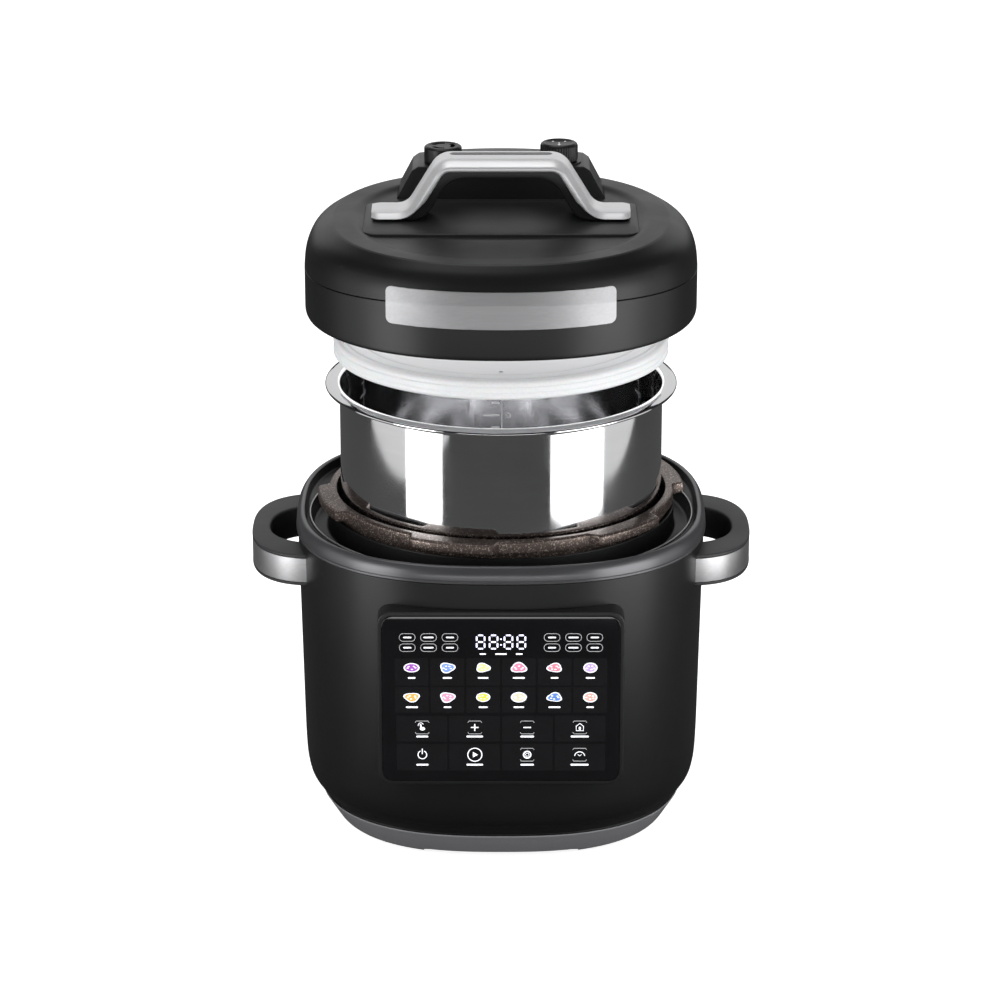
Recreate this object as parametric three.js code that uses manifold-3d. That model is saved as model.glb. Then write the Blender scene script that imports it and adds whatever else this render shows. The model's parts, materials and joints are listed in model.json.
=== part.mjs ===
// Electric pressure cooker, shown with its pot, seal and lid lifted apart.
// Millimetres, +Z up, front towards -Y. The origin is on the floor, on the axis of the pot.
// Everything is modelled where it sits when the cooker is closed, and three nested groups lift the pot,
// the seal with its plate, and the lid to the places they are shown in.
import * as THREE from "three";
import { mergeVertices } from "three/addons/utils/BufferGeometryUtils.js";
import Module from "manifold-3d";

const wasm = await Module();
wasm.setup();

// ---------------------------------------------------------------- driving sizes

const gap = 0.3; // between pieces that touch
const ringSteps = 40; // facets round every outline
const midSteps = 20; // facets round knobs and caps
const smallSteps = 10; // facets round screws, pins and bosses

const lift = { pot: 73, seal: 18.5, lid: 52.5 }; // each above the piece below it

const pot = { radius: 110.2, wall: 1.2, depth: 155, rimReach: 9.8, rimHeight: 4, cornerRadius: 13 };
const base = { floorZ: 2, floorThickness: 5, skirtTopZ: 21, seamZ: 29.2, bayHeight: 51, squareness: 2.6 };
const foot = { radius: 9, height: 5, recess: 3, x: 78, y: 78 };
const baseScrew = { reach: 95, headRadius: 4, headHeight: 2.2, shankRadius: 1.7, length: 22 };
const support = { thickness: 3.7, innerRadius: 60, legRadius: 6 };
const well = { clearance: 2.7, wall: 2.3, floor: 2, holeRadius: 40 };
const flange = {
  reach: 3.4, height: 8, lugReach: 7.4, lugThickness: 7, lugCount: 6, lugAngle: 30, phase: -15.5,
};
const heater = { radius: 100, topAboveWell: 16, holeRadius: 17 };
const sensor = {
  capRadius: 15, capHeight: 6, stemRadius: 5, proud: 1.7, springRadius: 9.5, wireRadius: 1.1,
};
const shield = { standOff: 6, thickness: 1.2, bottomZ: 74 };
const gutter = { innerWall: 2, width: 10.3, depth: 18, lipWidth: 1 };
const rim = {
  landClearance: 1.6, crestWidth: 6.8, crestBelowFlange: 10, bandHeight: 11.7, depthExtra: 1.5,
};
const shell = { wall: 1.6, rimOverhang: 1.3, taper: 3, hemInset: 5.6 };
const panel = { width: 163, height: 123, proud: 4.4, corner: 9, dropFromRim: 17.4 };
const glass = { inset: 2.6, thickness: 2.2 };
const handle = { reach: 32, halfLength: 65, corner: 33, height: 22, drop: 7.2 };
const handleHole = { reach: 19.5, halfLength: 38, corner: 14 };
const handleTrim = { thickness: 1.6, edge: 2.2 };
const sealRing = { reach: 3.8, height: 13, web: 2.6, lip: 1.2, innerReach: 16.7 };
const plate = { thickness: 3.6, flangeThickness: 2.5, ventCount: 6, ventRadius: 1.6, ventInset: 9 };
const lid = {
  wall: 4, seatBelowCrest: 5, squareness: 2.25, depthExtra: 1.8, seamMean: 34, seamWave: 3.5,
};
const crown = { sideInset: 18.4, endInset: 10.5, height: 61.5, ringWidth: 15.5, dish: 2.6, wall: 2.8 };
const dish = {
  roof: 2.2, skirt: 1.2, lugClearance: 0.6, lugThickness: 2.6, lugInner: 1.4, roofAboveSeal: 7.4,
};
const deck = {
  halfWidth: 57, spread: 10, top: 80, frontY: 55, ramp: 5, rearY: 116, wall: 3, collar: 0.9,
};
const lidHandle = {
  halfSpan: 87, footLength: 23, topHalf: 42, rise: 36, depth: 38, y: 6, trim: 3.6, core: 10.5,
};
const valve = {
  x: 40, y: 76, knobRadius: 13, knobHeight: 12.5, pipeRadius: 5, pipeBore: 2, floatRadius: 2.8,
};
const cup = { width: 62, depth: 8.6, height: 46, wall: 1.6, lip: 3 };

// ---------------------------------------------------------------- sizes that follow from them

const floorTopZ = base.floorZ + base.floorThickness;
const supportZ = floorTopZ + base.bayHeight;
const wellFloorZ = supportZ + support.thickness + gap;
const heaterTopZ = wellFloorZ + heater.topAboveWell;
const potFloorZ = heaterTopZ + gap;
const potTopZ = potFloorZ + pot.depth;
const flangeTopZ = potTopZ - pot.rimHeight - gap;
const crestZ = flangeTopZ - rim.crestBelowFlange;
const shellTopZ = crestZ - rim.bandHeight - gap;
const shellBottomZ = base.seamZ + gap;
const lidZ = crestZ - lid.seatBelowCrest;
const sealZ = potTopZ + gap;

const wellRadius = pot.radius + well.clearance;
const wellOuterRadius = wellRadius + well.wall;
const flangeRadius = wellOuterRadius + flange.reach;
const lugRadius = flangeRadius + flange.lugReach;
const skirtRadius = lugRadius + 0.7;
const lidHalfWidth = skirtRadius + dish.skirt + 0.5 + lid.wall;
const lidHalfDepth = lidHalfWidth + lid.depthExtra;
const crownHalfWidth = lidHalfWidth - crown.sideInset;
const crownHalfDepth = lidHalfDepth - crown.endInset;
const wellMouth = lidHalfWidth + rim.landClearance;
const rimHalfWidth = wellMouth + rim.crestWidth;
const shellHalfWidth = rimHalfWidth - shell.rimOverhang;
const shellHalfDepth = shellHalfWidth + rim.depthExtra;
const sealRadius = pot.radius + sealRing.reach;
const sealInnerRadius = sealRadius - sealRing.innerReach;
const plateTopZ = sealZ + sealRing.height - 0.8;
const dishRoofZ = sealZ + sealRing.height + dish.roofAboveSeal;

// ---------------------------------------------------------------- finishes

const finish = (color, roughness, metalness = 0) =>
  new THREE.MeshStandardMaterial({ color, roughness, metalness });
const blackPlastic = finish(0x17181a, 0.45);
const satinBlack = finish(0x1e1f21, 0.4);
const greyPlastic = finish(0x4a4b4f, 0.5);
const gunmetal = finish(0x3c3d40, 0.3, 0.6);
const brushedSilver = finish(0xc9cacc, 0.32, 0.9);
const mirrorSteel = finish(0xd8d9db, 0.08, 1);
const castBronze = finish(0x5a4a42, 0.5, 0.7);
const aluminium = finish(0xb9bbbe, 0.4, 0.9);
const zincSteel = finish(0x9c9fa3, 0.4, 0.9);
const silicone = finish(0xe6e8e9, 0.55);
const rubber = finish(0x151515, 0.8);
const circuitGreen = finish(0x1e4a32, 0.6);
const gloss = finish(0x050507, 0.08);
const clearPlastic = finish(0xcfd6da, 0.2);

// ---------------------------------------------------------------- geometry helpers

// A closed mesh as a manifold-3d solid.
function solid(geometry) {
  const bare = geometry.clone();
  bare.deleteAttribute("normal");
  bare.deleteAttribute("uv");
  const merged = mergeVertices(bare, 1e-4);
  return new wasm.Manifold(
    new wasm.Mesh({
      numProp: 3,
      vertProperties: Float32Array.from(merged.attributes.position.array),
      triVerts: Uint32Array.from(merged.index.array),
    }),
  );
}

// A manifold-3d solid as flat-shaded three.js geometry.
function geometryOf(manifold) {
  const { vertProperties, triVerts, numProp } = manifold.getMesh();
  const indexed = new THREE.BufferGeometry();
  indexed.setAttribute("position", new THREE.BufferAttribute(Float32Array.from(vertProperties), numProp));
  indexed.setIndex(new THREE.BufferAttribute(Uint32Array.from(triVerts), 1));
  const flat = indexed.toNonIndexed();
  flat.computeVertexNormals();
  return flat;
}

// The first geometry with the others joined to it, and then with the tools cut away.
function shaped(first, { join = [], cut = [], keep = [] }) {
  let body = solid(first);
  for (const other of join) body = body.add(solid(other));
  for (const mask of keep) body = body.intersect(solid(mask));
  for (const tool of cut) body = body.subtract(solid(tool));
  return geometryOf(body);
}

// Distance from the axis to a rounded-square outline at an angle; n = 2 is an ellipse.
function outlineRadius(angle, halfWidth, halfDepth, n) {
  const across = Math.abs(Math.cos(angle) / halfWidth) ** n;
  const along = Math.abs(Math.sin(angle) / halfDepth) ** n;
  return (across + along) ** (-1 / n);
}

// A ring of a loft: half width, half depth, height (a number or a function of the angle), squareness.
const ring = (a, b, z, n = base.squareness) => ({ a, b, z, n });
const circle = (r, z) => ({ a: r, b: r, z, n: 2 });

// A solid lofted through rings. With closed, the last ring joins the first and there is a hole through the
// middle. Otherwise the first and last rings are capped.
function loft(rings, closed = false) {
  const points = [];
  const faces = [];
  for (const { a, b, z, n } of rings) {
    for (let i = 0; i < ringSteps; i++) {
      const angle = (2 * Math.PI * i) / ringSteps;
      const r = outlineRadius(angle, a, b, n);
      const height = typeof z === "function" ? z(angle) : z;
      points.push(r * Math.cos(angle), r * Math.sin(angle), height);
    }
  }
  const spans = closed ? rings.length : rings.length - 1;
  for (let k = 0; k < spans; k++) {
    const low = k * ringSteps;
    const high = ((k + 1) % rings.length) * ringSteps;
    for (let i = 0; i < ringSteps; i++) {
      const j = (i + 1) % ringSteps;
      faces.push(low + i, low + j, high + j, low + i, high + j, high + i);
    }
  }
  if (!closed) {
    for (const [k, flip] of [[0, true], [rings.length - 1, false]]) {
      const { z } = rings[k];
      const centre = points.length / 3;
      points.push(0, 0, typeof z === "function" ? z(0) : z);
      for (let i = 0; i < ringSteps; i++) {
        const j = (i + 1) % ringSteps;
        const [p, q] = flip ? [j, i] : [i, j];
        faces.push(centre, k * ringSteps + p, k * ringSteps + q);
      }
    }
  }
  const indexed = new THREE.BufferGeometry();
  indexed.setAttribute("position", new THREE.Float32BufferAttribute(points, 3));
  indexed.setIndex(faces);
  const flat = indexed.toNonIndexed();
  flat.computeVertexNormals();
  return flat;
}

// A turned solid about Z from [radius, height] points that start and end on the axis, or that close.
function turned(profile, steps = ringSteps) {
  const outline = profile.map(([r, z]) => new THREE.Vector2(r, z));
  const geometry = new THREE.LatheGeometry(outline, steps);
  geometry.rotateX(Math.PI / 2);
  return geometry;
}

// A turned ring, whose profile goes once round its own section.
const turnedRing = (profile, steps) => turned([...profile, profile[0]], steps);

// A round bar along Z between two heights.
function bar(radius, z0, z1, x = 0, y = 0, steps = smallSteps) {
  const geometry = new THREE.CylinderGeometry(radius, radius, z1 - z0, steps);
  geometry.rotateX(Math.PI / 2);
  return geometry.translate(x, y, (z0 + z1) / 2);
}

// A round bar along X between two places.
function barX(radius, x0, x1, y, z, steps = smallSteps) {
  const geometry = new THREE.CylinderGeometry(radius, radius, Math.abs(x1 - x0), steps);
  geometry.rotateZ(Math.PI / 2);
  return geometry.translate((x0 + x1) / 2, y, z);
}

// A block between its lowest and highest corners.
function block([x0, y0, z0], [x1, y1, z1]) {
  const geometry = new THREE.BoxGeometry(x1 - x0, y1 - y0, z1 - z0);
  return geometry.translate((x0 + x1) / 2, (y0 + y1) / 2, (z0 + z1) / 2);
}

// A rectangle with round corners, as a shape about a centre.
function roundedRectangle(width, height, radius, cx = 0, cy = 0) {
  const [w, h] = [width / 2, height / 2];
  const shape = new THREE.Shape();
  shape.absarc(cx + w - radius, cy + h - radius, radius, 0, Math.PI / 2);
  shape.absarc(cx - w + radius, cy + h - radius, radius, Math.PI / 2, Math.PI);
  shape.absarc(cx - w + radius, cy - h + radius, radius, Math.PI, 1.5 * Math.PI);
  shape.absarc(cx + w - radius, cy - h + radius, radius, 1.5 * Math.PI, 2 * Math.PI);
  return shape;
}

// A flat shape, drawn in X and Y, given a thickness between two heights.
function slab(shape, z0, z1, curveSegments = 4) {
  const geometry = new THREE.ExtrudeGeometry(shape, { depth: z1 - z0, bevelEnabled: false, curveSegments });
  return geometry.translate(0, 0, z0);
}

// A flat shape, drawn in X and Z, given a thickness between two values of Y.
function upright(shape, y0, y1, curveSegments = 4) {
  const geometry = new THREE.ExtrudeGeometry(shape, { depth: y1 - y0, bevelEnabled: false, curveSegments });
  geometry.rotateX(Math.PI / 2);
  return geometry.translate(0, y1, 0);
}

// A flat shape, drawn in Y and Z, given a thickness between two values of X.
function sideways(shape, x0, x1, curveSegments = 4) {
  const geometry = new THREE.ExtrudeGeometry(shape, { depth: x1 - x0, bevelEnabled: false, curveSegments });
  const turn = new THREE.Matrix4().set(0, 0, 1, 0, 1, 0, 0, 0, 0, 1, 0, 0, 0, 0, 0, 1);
  return geometry.applyMatrix4(turn).translate(x0, 0, 0);
}

// A tube along points.
function tube(points, radius, steps, sides = 8) {
  const section = new THREE.Shape();
  section.absarc(0, 0, radius, 0, 2 * Math.PI);
  const extrudePath = new THREE.CatmullRomCurve3(points.map((p) => new THREE.Vector3(...p)));
  return new THREE.ExtrudeGeometry(section, { steps, extrudePath, curveSegments: sides / 2 });
}

// A piece of a flat ring between two radii and two angles.
function arcSlab(inner, outer, from, to, z0, z1) {
  const shape = new THREE.Shape();
  shape.absarc(0, 0, outer, from, to);
  shape.absarc(0, 0, inner, to, from, true);
  return slab(shape, z0, z1, 4);
}

// A machine screw along Z with its head at the bottom.
function screw(x, y, headZ, { headRadius, headHeight, shankRadius, length }) {
  return turned(
    [
      [0, headZ],
      [headRadius, headZ],
      [headRadius, headZ + headHeight],
      [shankRadius, headZ + headHeight],
      [shankRadius, headZ + length],
      [0, headZ + length],
    ],
    smallSteps,
  ).translate(x, y, 0);
}

function named(name, geometry, material) {
  const mesh = new THREE.Mesh(geometry, material);
  mesh.name = name;
  return mesh;
}

const corners = [
  [1, 1],
  [-1, 1],
  [-1, -1],
  [1, -1],
];
const degrees = Math.PI / 180;
const frontAngle = -Math.PI / 2;

// ---------------------------------------------------------------- base unit: tray, feet, shell and rim

// The shell's outer outline from its hem to its top edge, grown by a clearance.
const shellRing = (inset, z, grow) =>
  ring(shellHalfWidth - inset + grow, shellHalfDepth - inset + grow, z);
function shellRings(grow) {
  return [
    shellRing(shell.taper + shell.hemInset, shellBottomZ, grow),
    shellRing(shell.taper + 2.6, shellBottomZ + 4.5, grow),
    shellRing(shell.taper + 0.8, shellBottomZ + 13, grow),
    shellRing(shell.taper, shellBottomZ + 30, grow),
    shellRing(0, shellTopZ, grow),
  ];
}

// What nothing outside the shell may enter.
const shellEnvelope = loft([
  shellRing(shell.taper + shell.hemInset, base.floorZ, gap),
  ...shellRings(gap),
  shellRing(0, flangeTopZ, gap),
]);

function baseTray() {
  const [a, b] = [shellHalfWidth, shellHalfDepth];
  const at = (inset, z) => ring(a - inset, b - inset, z);
  const body = loft([
    at(28, base.floorZ),
    at(23.5, base.floorZ + 1),
    at(13, base.skirtTopZ),
    at(14.8, base.skirtTopZ + 0.6),
    at(9.9, base.seamZ),
    at(11.1, base.seamZ + 0.2),
    at(11.1, base.seamZ + 6),
    at(13, base.seamZ + 6),
    at(13.2, base.seamZ),
    at(17.4, base.skirtTopZ),
    at(27, floorTopZ),
  ]);
  const bosses = corners.map(([sx, sy]) =>
    bar(3.2, floorTopZ - 1, floorTopZ + 8.4, 42 * sx, 32 * sy - 12),
  );
  const footRecesses = corners.map(([sx, sy]) =>
    bar(foot.radius + gap, 0, base.floorZ + foot.recess + gap, foot.x * sx, foot.y * sy),
  );
  const screwHoles = corners.flatMap(([sx, sy]) => {
    const r = baseScrew.reach * Math.SQRT1_2;
    return [
      bar(baseScrew.headRadius + gap, 0, base.floorZ + 2.8, r * sx, r * sy),
      bar(baseScrew.shankRadius + gap, 0, floorTopZ + 1, r * sx, r * sy),
    ];
  });
  const notch = block([-52, -b - 1, 0], [52, -b + 34, base.floorZ + 3.2]);
  const vents = [-1, 1].flatMap((side) =>
    [-30, -16, -2].map((y) => block([side * 30 - 18, y, 0], [side * 30 + 18, y + 4, floorTopZ + 1])),
  );
  return shaped(body, { join: bosses, cut: [...footRecesses, ...screwHoles, notch, ...vents] });
}

function bodyShell() {
  const outer = shellRings(0);
  const inner = shellRings(-shell.wall).reverse();
  const rectangle = (w, h, z) => roundedRectangle(w, h, 6, 0, z);
  const reach = shellHalfDepth + 5;
  const panelWindow = upright(rectangle(panel.width - 24, panel.height - 22, panelCentreZ), -reach, -60);
  const inletWindow = upright(rectangle(29, 21, inlet.z), 60, reach);
  const drainHole = bar(5, -20, 20).rotateX(Math.PI / 2).translate(0, shellHalfDepth, cupTopZ + 7);
  const screwHoles = handleScrewPlaces().map(([side, y]) =>
    barX(2.5, side * (shellHalfWidth - 20), side * (shellHalfWidth + 5), y, handleMidZ));
  return shaped(loft([...outer, ...inner], true), {
    cut: [panelWindow, inletWindow, drainHole, ...screwHoles],
  });
}

function topRim() {
  const at = (inset, z) => ring(rimHalfWidth - inset, rimHalfWidth - inset + rim.depthExtra, z);
  const wallOuter = wellOuterRadius + 1.8 + gutter.innerWall;
  const gutterOuter = wallOuter + gutter.width;
  const floorZ = crestZ - gutter.depth;
  const lipZ = crestZ - 7.8;
  return loft(
    [
      at(3.3, shellTopZ - 7),
      at(3.3, shellTopZ + gap),
      at(0.4, shellTopZ + gap),
      at(0, shellTopZ + 4),
      at(1.4, crestZ - 2.6),
      at(3.4, crestZ - 0.3),
      at(5.2, crestZ),
      at(6.4, crestZ - 1),
      at(6.8, crestZ - 7.5),
      circle(gutterOuter + 3.1, crestZ - 9.2),
      circle(gutterOuter + 2.7, lipZ),
      circle(gutterOuter + 2.7 - gutter.lipWidth, lipZ),
      circle(gutterOuter, floorZ),
      circle(wallOuter, floorZ),
      circle(wallOuter, crestZ - 2),
      circle(wallOuter - gutter.innerWall, crestZ - 2),
      circle(wallOuter - gutter.innerWall, floorZ - 2.5),
      circle(gutterOuter + 1.6, floorZ - 2.5),
      circle(gutterOuter + 4, lipZ - 4),
    ],
    true,
  );
}

function rubberFoot(sx, sy) {
  const profile = [
    [0, 0],
    [foot.radius - 1.2, 0],
    [foot.radius, 1.2],
    [foot.radius, foot.height],
    [0, foot.height],
  ];
  return turned(profile, smallSteps).translate(foot.x * sx, foot.y * sy, 0);
}

// ---------------------------------------------------------------- base unit: pot support, heat and sensing

function potSupport() {
  const r = baseScrew.reach * Math.SQRT1_2;
  const plateRing = turnedRing([
    [support.innerRadius, supportZ],
    [wellOuterRadius - 7, supportZ],
    [wellOuterRadius - 7, supportZ + support.thickness],
    [support.innerRadius, supportZ + support.thickness],
  ]);
  const legs = corners.map(([sx, sy]) =>
    bar(support.legRadius, floorTopZ + gap, supportZ + 1, r * sx, r * sy));
  const pilots = corners.map(([sx, sy]) =>
    bar(baseScrew.shankRadius + gap, floorTopZ - 1, base.floorZ + baseScrew.length + 3, r * sx, r * sy));
  return shaped(plateRing, { join: legs, cut: pilots });
}

// Angles of the middle of each bayonet lug.
const lugAngles = Array.from({ length: flange.lugCount }, (_, i) =>
  frontAngle + (flange.phase + (360 / flange.lugCount) * i) * degrees);

function outerPot() {
  const body = turnedRing([
    [well.holeRadius, wellFloorZ],
    [wellOuterRadius, wellFloorZ],
    [wellOuterRadius, flangeTopZ - flange.height],
    [flangeRadius, flangeTopZ - flange.height + 1],
    [flangeRadius, flangeTopZ],
    [wellRadius, flangeTopZ],
    [wellRadius, wellFloorZ + well.floor],
    [well.holeRadius, wellFloorZ + well.floor],
  ]);
  const half = (flange.lugAngle / 2) * degrees;
  const lugs = lugAngles.map((middle) => {
    const shape = new THREE.Shape();
    shape.absarc(0, 0, lugRadius, middle - half * 0.84, middle + half * 0.84);
    shape.absarc(0, 0, flangeRadius - 2, middle + half, middle - half, true);
    return slab(shape, flangeTopZ - flange.lugThickness, flangeTopZ, 3);
  });
  return shaped(body, { join: lugs });
}

function heatingPlate() {
  const bottom = wellFloorZ + well.floor + gap;
  const disc = turnedRing([
    [heater.holeRadius, bottom],
    [heater.radius - 2, bottom],
    [heater.radius, bottom + 3],
    [heater.radius, heaterTopZ - 3],
    [heater.radius - 3, heaterTopZ],
    [heater.holeRadius + 1, heaterTopZ],
    [heater.holeRadius, heaterTopZ - 1],
  ]);
  const terminals = [-1, 1].map((side) => bar(3, supportZ - 4, bottom + 2, side * 30, -16));
  return shaped(disc, { join: terminals });
}

const bracketTopZ = supportZ - 3;
const sensorTopZ = heaterTopZ + sensor.proud + gap;

function sensorProbe() {
  return turned([
    [0, bracketTopZ - 9],
    [sensor.stemRadius + 2.6, bracketTopZ - 9],
    [sensor.stemRadius + 2.6, bracketTopZ - 7.4],
    [sensor.stemRadius, bracketTopZ - 7.4],
    [sensor.stemRadius, sensorTopZ - sensor.capHeight],
    [sensor.capRadius, sensorTopZ - sensor.capHeight],
    [sensor.capRadius, sensorTopZ - 1],
    [sensor.capRadius - 1, sensorTopZ],
    [0, sensorTopZ],
  ], midSteps);
}

function sensorSpring() {
  const turns = 4;
  const stepsPerTurn = 8;
  const low = bracketTopZ + gap + sensor.wireRadius;
  const high = sensorTopZ - sensor.capHeight - gap - sensor.wireRadius;
  const points = [];
  for (let i = 0; i <= turns * stepsPerTurn; i++) {
    const angle = (2 * Math.PI * i) / stepsPerTurn;
    const z = low + ((high - low) * i) / (turns * stepsPerTurn);
    points.push([sensor.springRadius * Math.cos(angle), sensor.springRadius * Math.sin(angle), z]);
  }
  return tube(points, sensor.wireRadius, turns * stepsPerTurn, 6);
}

function sensorBracket() {
  const reach = support.innerRadius + 12;
  const strap = block([-reach, -12, bracketTopZ - 2], [reach, 12, bracketTopZ]);
  const ends = [-1, 1].map((side) =>
    block([side * (reach - 5) - 5, -12, bracketTopZ - 1], [side * (reach - 5) + 5, 12, supportZ - gap]));
  const hole = bar(sensor.stemRadius + 1.5, bracketTopZ - 5, bracketTopZ + 5);
  return shaped(strap, { join: ends, cut: [hole] });
}

function heatShield() {
  const r = wellOuterRadius + shield.standOff;
  const top = crestZ - gutter.depth - 2.5 - 1;
  return turnedRing([
    [r, shield.bottomZ],
    [r + shield.thickness, shield.bottomZ],
    [r + shield.thickness, top],
    [r, top],
  ]);
}

function thermalFuse() {
  return barX(2.4, -24, -10, 24, wellFloorZ - 0.6 - 2.4 + well.floor, 12);
}

// ---------------------------------------------------------------- base unit: panel and electronics

const boardThickness = 1.6;
const panelCentreZ = shellTopZ - panel.dropFromRim - panel.height / 2;
const panelFrontY = -(shellHalfDepth + panel.proud);
const glassBackY = panelFrontY + glass.thickness;
const boardZ = floorTopZ + 8.4 + gap;
const boardTopZ = boardZ + boardThickness;
const inlet = { z: base.seamZ + 20 };

const panelPlate = (inset, y0, y1) =>
  upright(
    roundedRectangle(
      panel.width - 2 * inset,
      panel.height - 2 * inset,
      panel.corner - inset * 0.6,
      0,
      panelCentreZ,
    ),
    y0,
    y1,
  );

function panelFrame() {
  const window = upright(
    roundedRectangle(panel.width - 30, panel.height - 28, 4, 0, panelCentreZ), panelFrontY - 1, -100);
  return shaped(panelPlate(0, panelFrontY, -110), {
    cut: [shellEnvelope, window, panelPlate(glass.inset, panelFrontY - 1, glassBackY + gap)],
  });
}

const panelGlass = () => panelPlate(glass.inset + gap, panelFrontY - gap, glassBackY);

const harness = { radius: 2.4, steps: 20 };
const controlBoardY = -(shellHalfDepth - 12.5);
const controlBoardLowZ = panelCentreZ - panel.height / 2 + 12.5;
const powerBoardFrontY = -52;

const controlBoard = () =>
  block([-66, controlBoardY, controlBoardLowZ], [66, controlBoardY + boardThickness, panelCentreZ + 49]);

const displayModule = () =>
  block([-32, glassBackY + 2 * gap, panelCentreZ + 22], [32, controlBoardY - gap, panelCentreZ + 44]);

function lightGuide() {
  const plateY = glassBackY + 2 * gap;
  const guide = block([-62, plateY, panelCentreZ - 46], [62, plateY + 3, panelCentreZ + 18]);
  const posts = corners.map(([sx, sz]) => {
    const z = panelCentreZ - 14 + 28 * sz;
    return block([58 * sx - 3, plateY + 2, z - 3], [58 * sx + 3, controlBoardY - gap, z + 3]);
  });
  return shaped(guide, { join: posts });
}

const powerBoard = () => block([-48, powerBoardFrontY, boardZ], [48, 28, boardTopZ]);
const relay = () => block([-34, -34, boardTopZ + gap], [-14, -18, boardTopZ + 16]);
const capacitor = () => bar(8, boardTopZ + gap, boardTopZ + 19, 26, -32);
const transformer = () => block([2, -6, boardTopZ + gap], [28, 18, boardTopZ + 18]);

function powerInlet() {
  const outerY = shellHalfDepth + 3.2;
  const innerY = shellHalfDepth - 27;
  const flangeShape = roundedRectangle(38, 29, 4, 0, inlet.z);
  const face = shaped(upright(flangeShape, shellHalfDepth - 8, outerY), { cut: [shellEnvelope] });
  const body = upright(roundedRectangle(27, 19, 3, 0, inlet.z), innerY, outerY - 0.5);
  const socket = upright(roundedRectangle(22, 14.5, 3, 0, inlet.z), innerY + 4, outerY + 1);
  const pins = [-7, 0, 7].map((x) => {
    const z = inlet.z + (x ? 0 : 1.6);
    return block([x - 1, innerY + 3, z - 2.4], [x + 1, outerY - 6, z + 2.4]);
  });
  const hollow = shaped(body, { join: [face], cut: [socket] });
  return shaped(hollow, { join: pins });
}

// The cable from the power board up to the lower edge of the control board.
function wireHarness() {
  const endY = controlBoardY + boardThickness / 2;
  const endZ = controlBoardLowZ - 2 * gap;
  const startZ = boardTopZ + harness.radius + 0.6;
  const rising = (share) => startZ + (endZ - startZ) * share;
  return tube(
    [
      [-40, powerBoardFrontY - 3.5, startZ],
      [-44, powerBoardFrontY - 23, rising(0.06)],
      [-48, endY + 31, rising(0.25)],
      [-50, endY + 10, rising(0.46)],
      [-50, endY + 3, rising(0.66)],
      [-50, endY, rising(0.88)],
      [-50, endY, endZ],
    ],
    harness.radius,
    harness.steps,
  );
}

// ---------------------------------------------------------------- base unit: side handles

const handleTopZ = shellTopZ - handle.drop;
const handleMidZ = handleTopZ - handle.height / 2;
const handleScrewPlaces = () => [-1, 1].flatMap((side) => [-50, 50].map((y) => [side, y]));

// The plan of a handle loop on one side, inset all round, with or without its finger hole.
function handlePlan(side, inset, withHole) {
  const tip = shellHalfWidth + handle.reach - inset;
  const half = handle.halfLength - inset;
  const r = handle.corner - inset;
  const root = shellHalfWidth - 30;
  const shape = new THREE.Shape();
  shape.moveTo(side * root, -half);
  shape.lineTo(side * (tip - r), -half);
  shape.absarc(side * (tip - r), -half + r, r, -Math.PI / 2, side > 0 ? 0 : -Math.PI, side < 0);
  shape.absarc(side * (tip - r), half - r, r, side > 0 ? 0 : Math.PI, Math.PI / 2, side < 0);
  shape.lineTo(side * root, half);
  shape.closePath();
  if (withHole) {
    const width = handleHole.reach + 20;
    const cx = side * (shellHalfWidth + handleHole.reach - width / 2);
    shape.holes.push(roundedRectangle(width, 2 * handleHole.halfLength, handleHole.corner, cx, 0));
  }
  return shape;
}

function handleBody(side) {
  const [low, high] = [handleTopZ - handle.height, handleTopZ];
  const trimSpace = slab(
    handlePlan(side, -2, false),
    low + handleTrim.edge - gap,
    high - handleTrim.edge + gap,
  );
  const band = shaped(trimSpace, {
    cut: [slab(handlePlan(side, handleTrim.thickness + gap, false), low - 1, high + 1)],
  });
  const pilots = [-50, 50].map((y) =>
    barX(2.1, side * (shellHalfWidth - 20), side * (shellHalfWidth + 16), y, handleMidZ));
  return shaped(slab(handlePlan(side, 0, true), low, high), { cut: [shellEnvelope, band, ...pilots] });
}

function handleBand(side) {
  const [low, high] = [handleTopZ - handle.height, handleTopZ];
  return shaped(slab(handlePlan(side, 0, false), low + handleTrim.edge, high - handleTrim.edge), {
    cut: [slab(handlePlan(side, handleTrim.thickness, false), low - 1, high + 1), shellEnvelope],
  });
}

function handleScrew(side, y) {
  const seatX = outlineX(Math.abs(y) + 4) - shell.wall - 1;
  const head = barX(3.8, side * (seatX - 2.4), side * seatX, y, handleMidZ);
  const shank = barX(1.8, side * (seatX - 1), side * (seatX + 15), y, handleMidZ);
  return shaped(head, { join: [shank] });
}

// Half width of the shell at a distance from the middle plane.
function outlineX(y) {
  const n = base.squareness;
  return shellHalfWidth * (1 - Math.abs(y / shellHalfDepth) ** n) ** (1 / n);
}

// ---------------------------------------------------------------- base unit: condensate cup at the rear

const cupTopZ = base.seamZ + (shellTopZ - base.seamZ) * 0.66;
const cupY = shellHalfDepth + 1.9;

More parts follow.
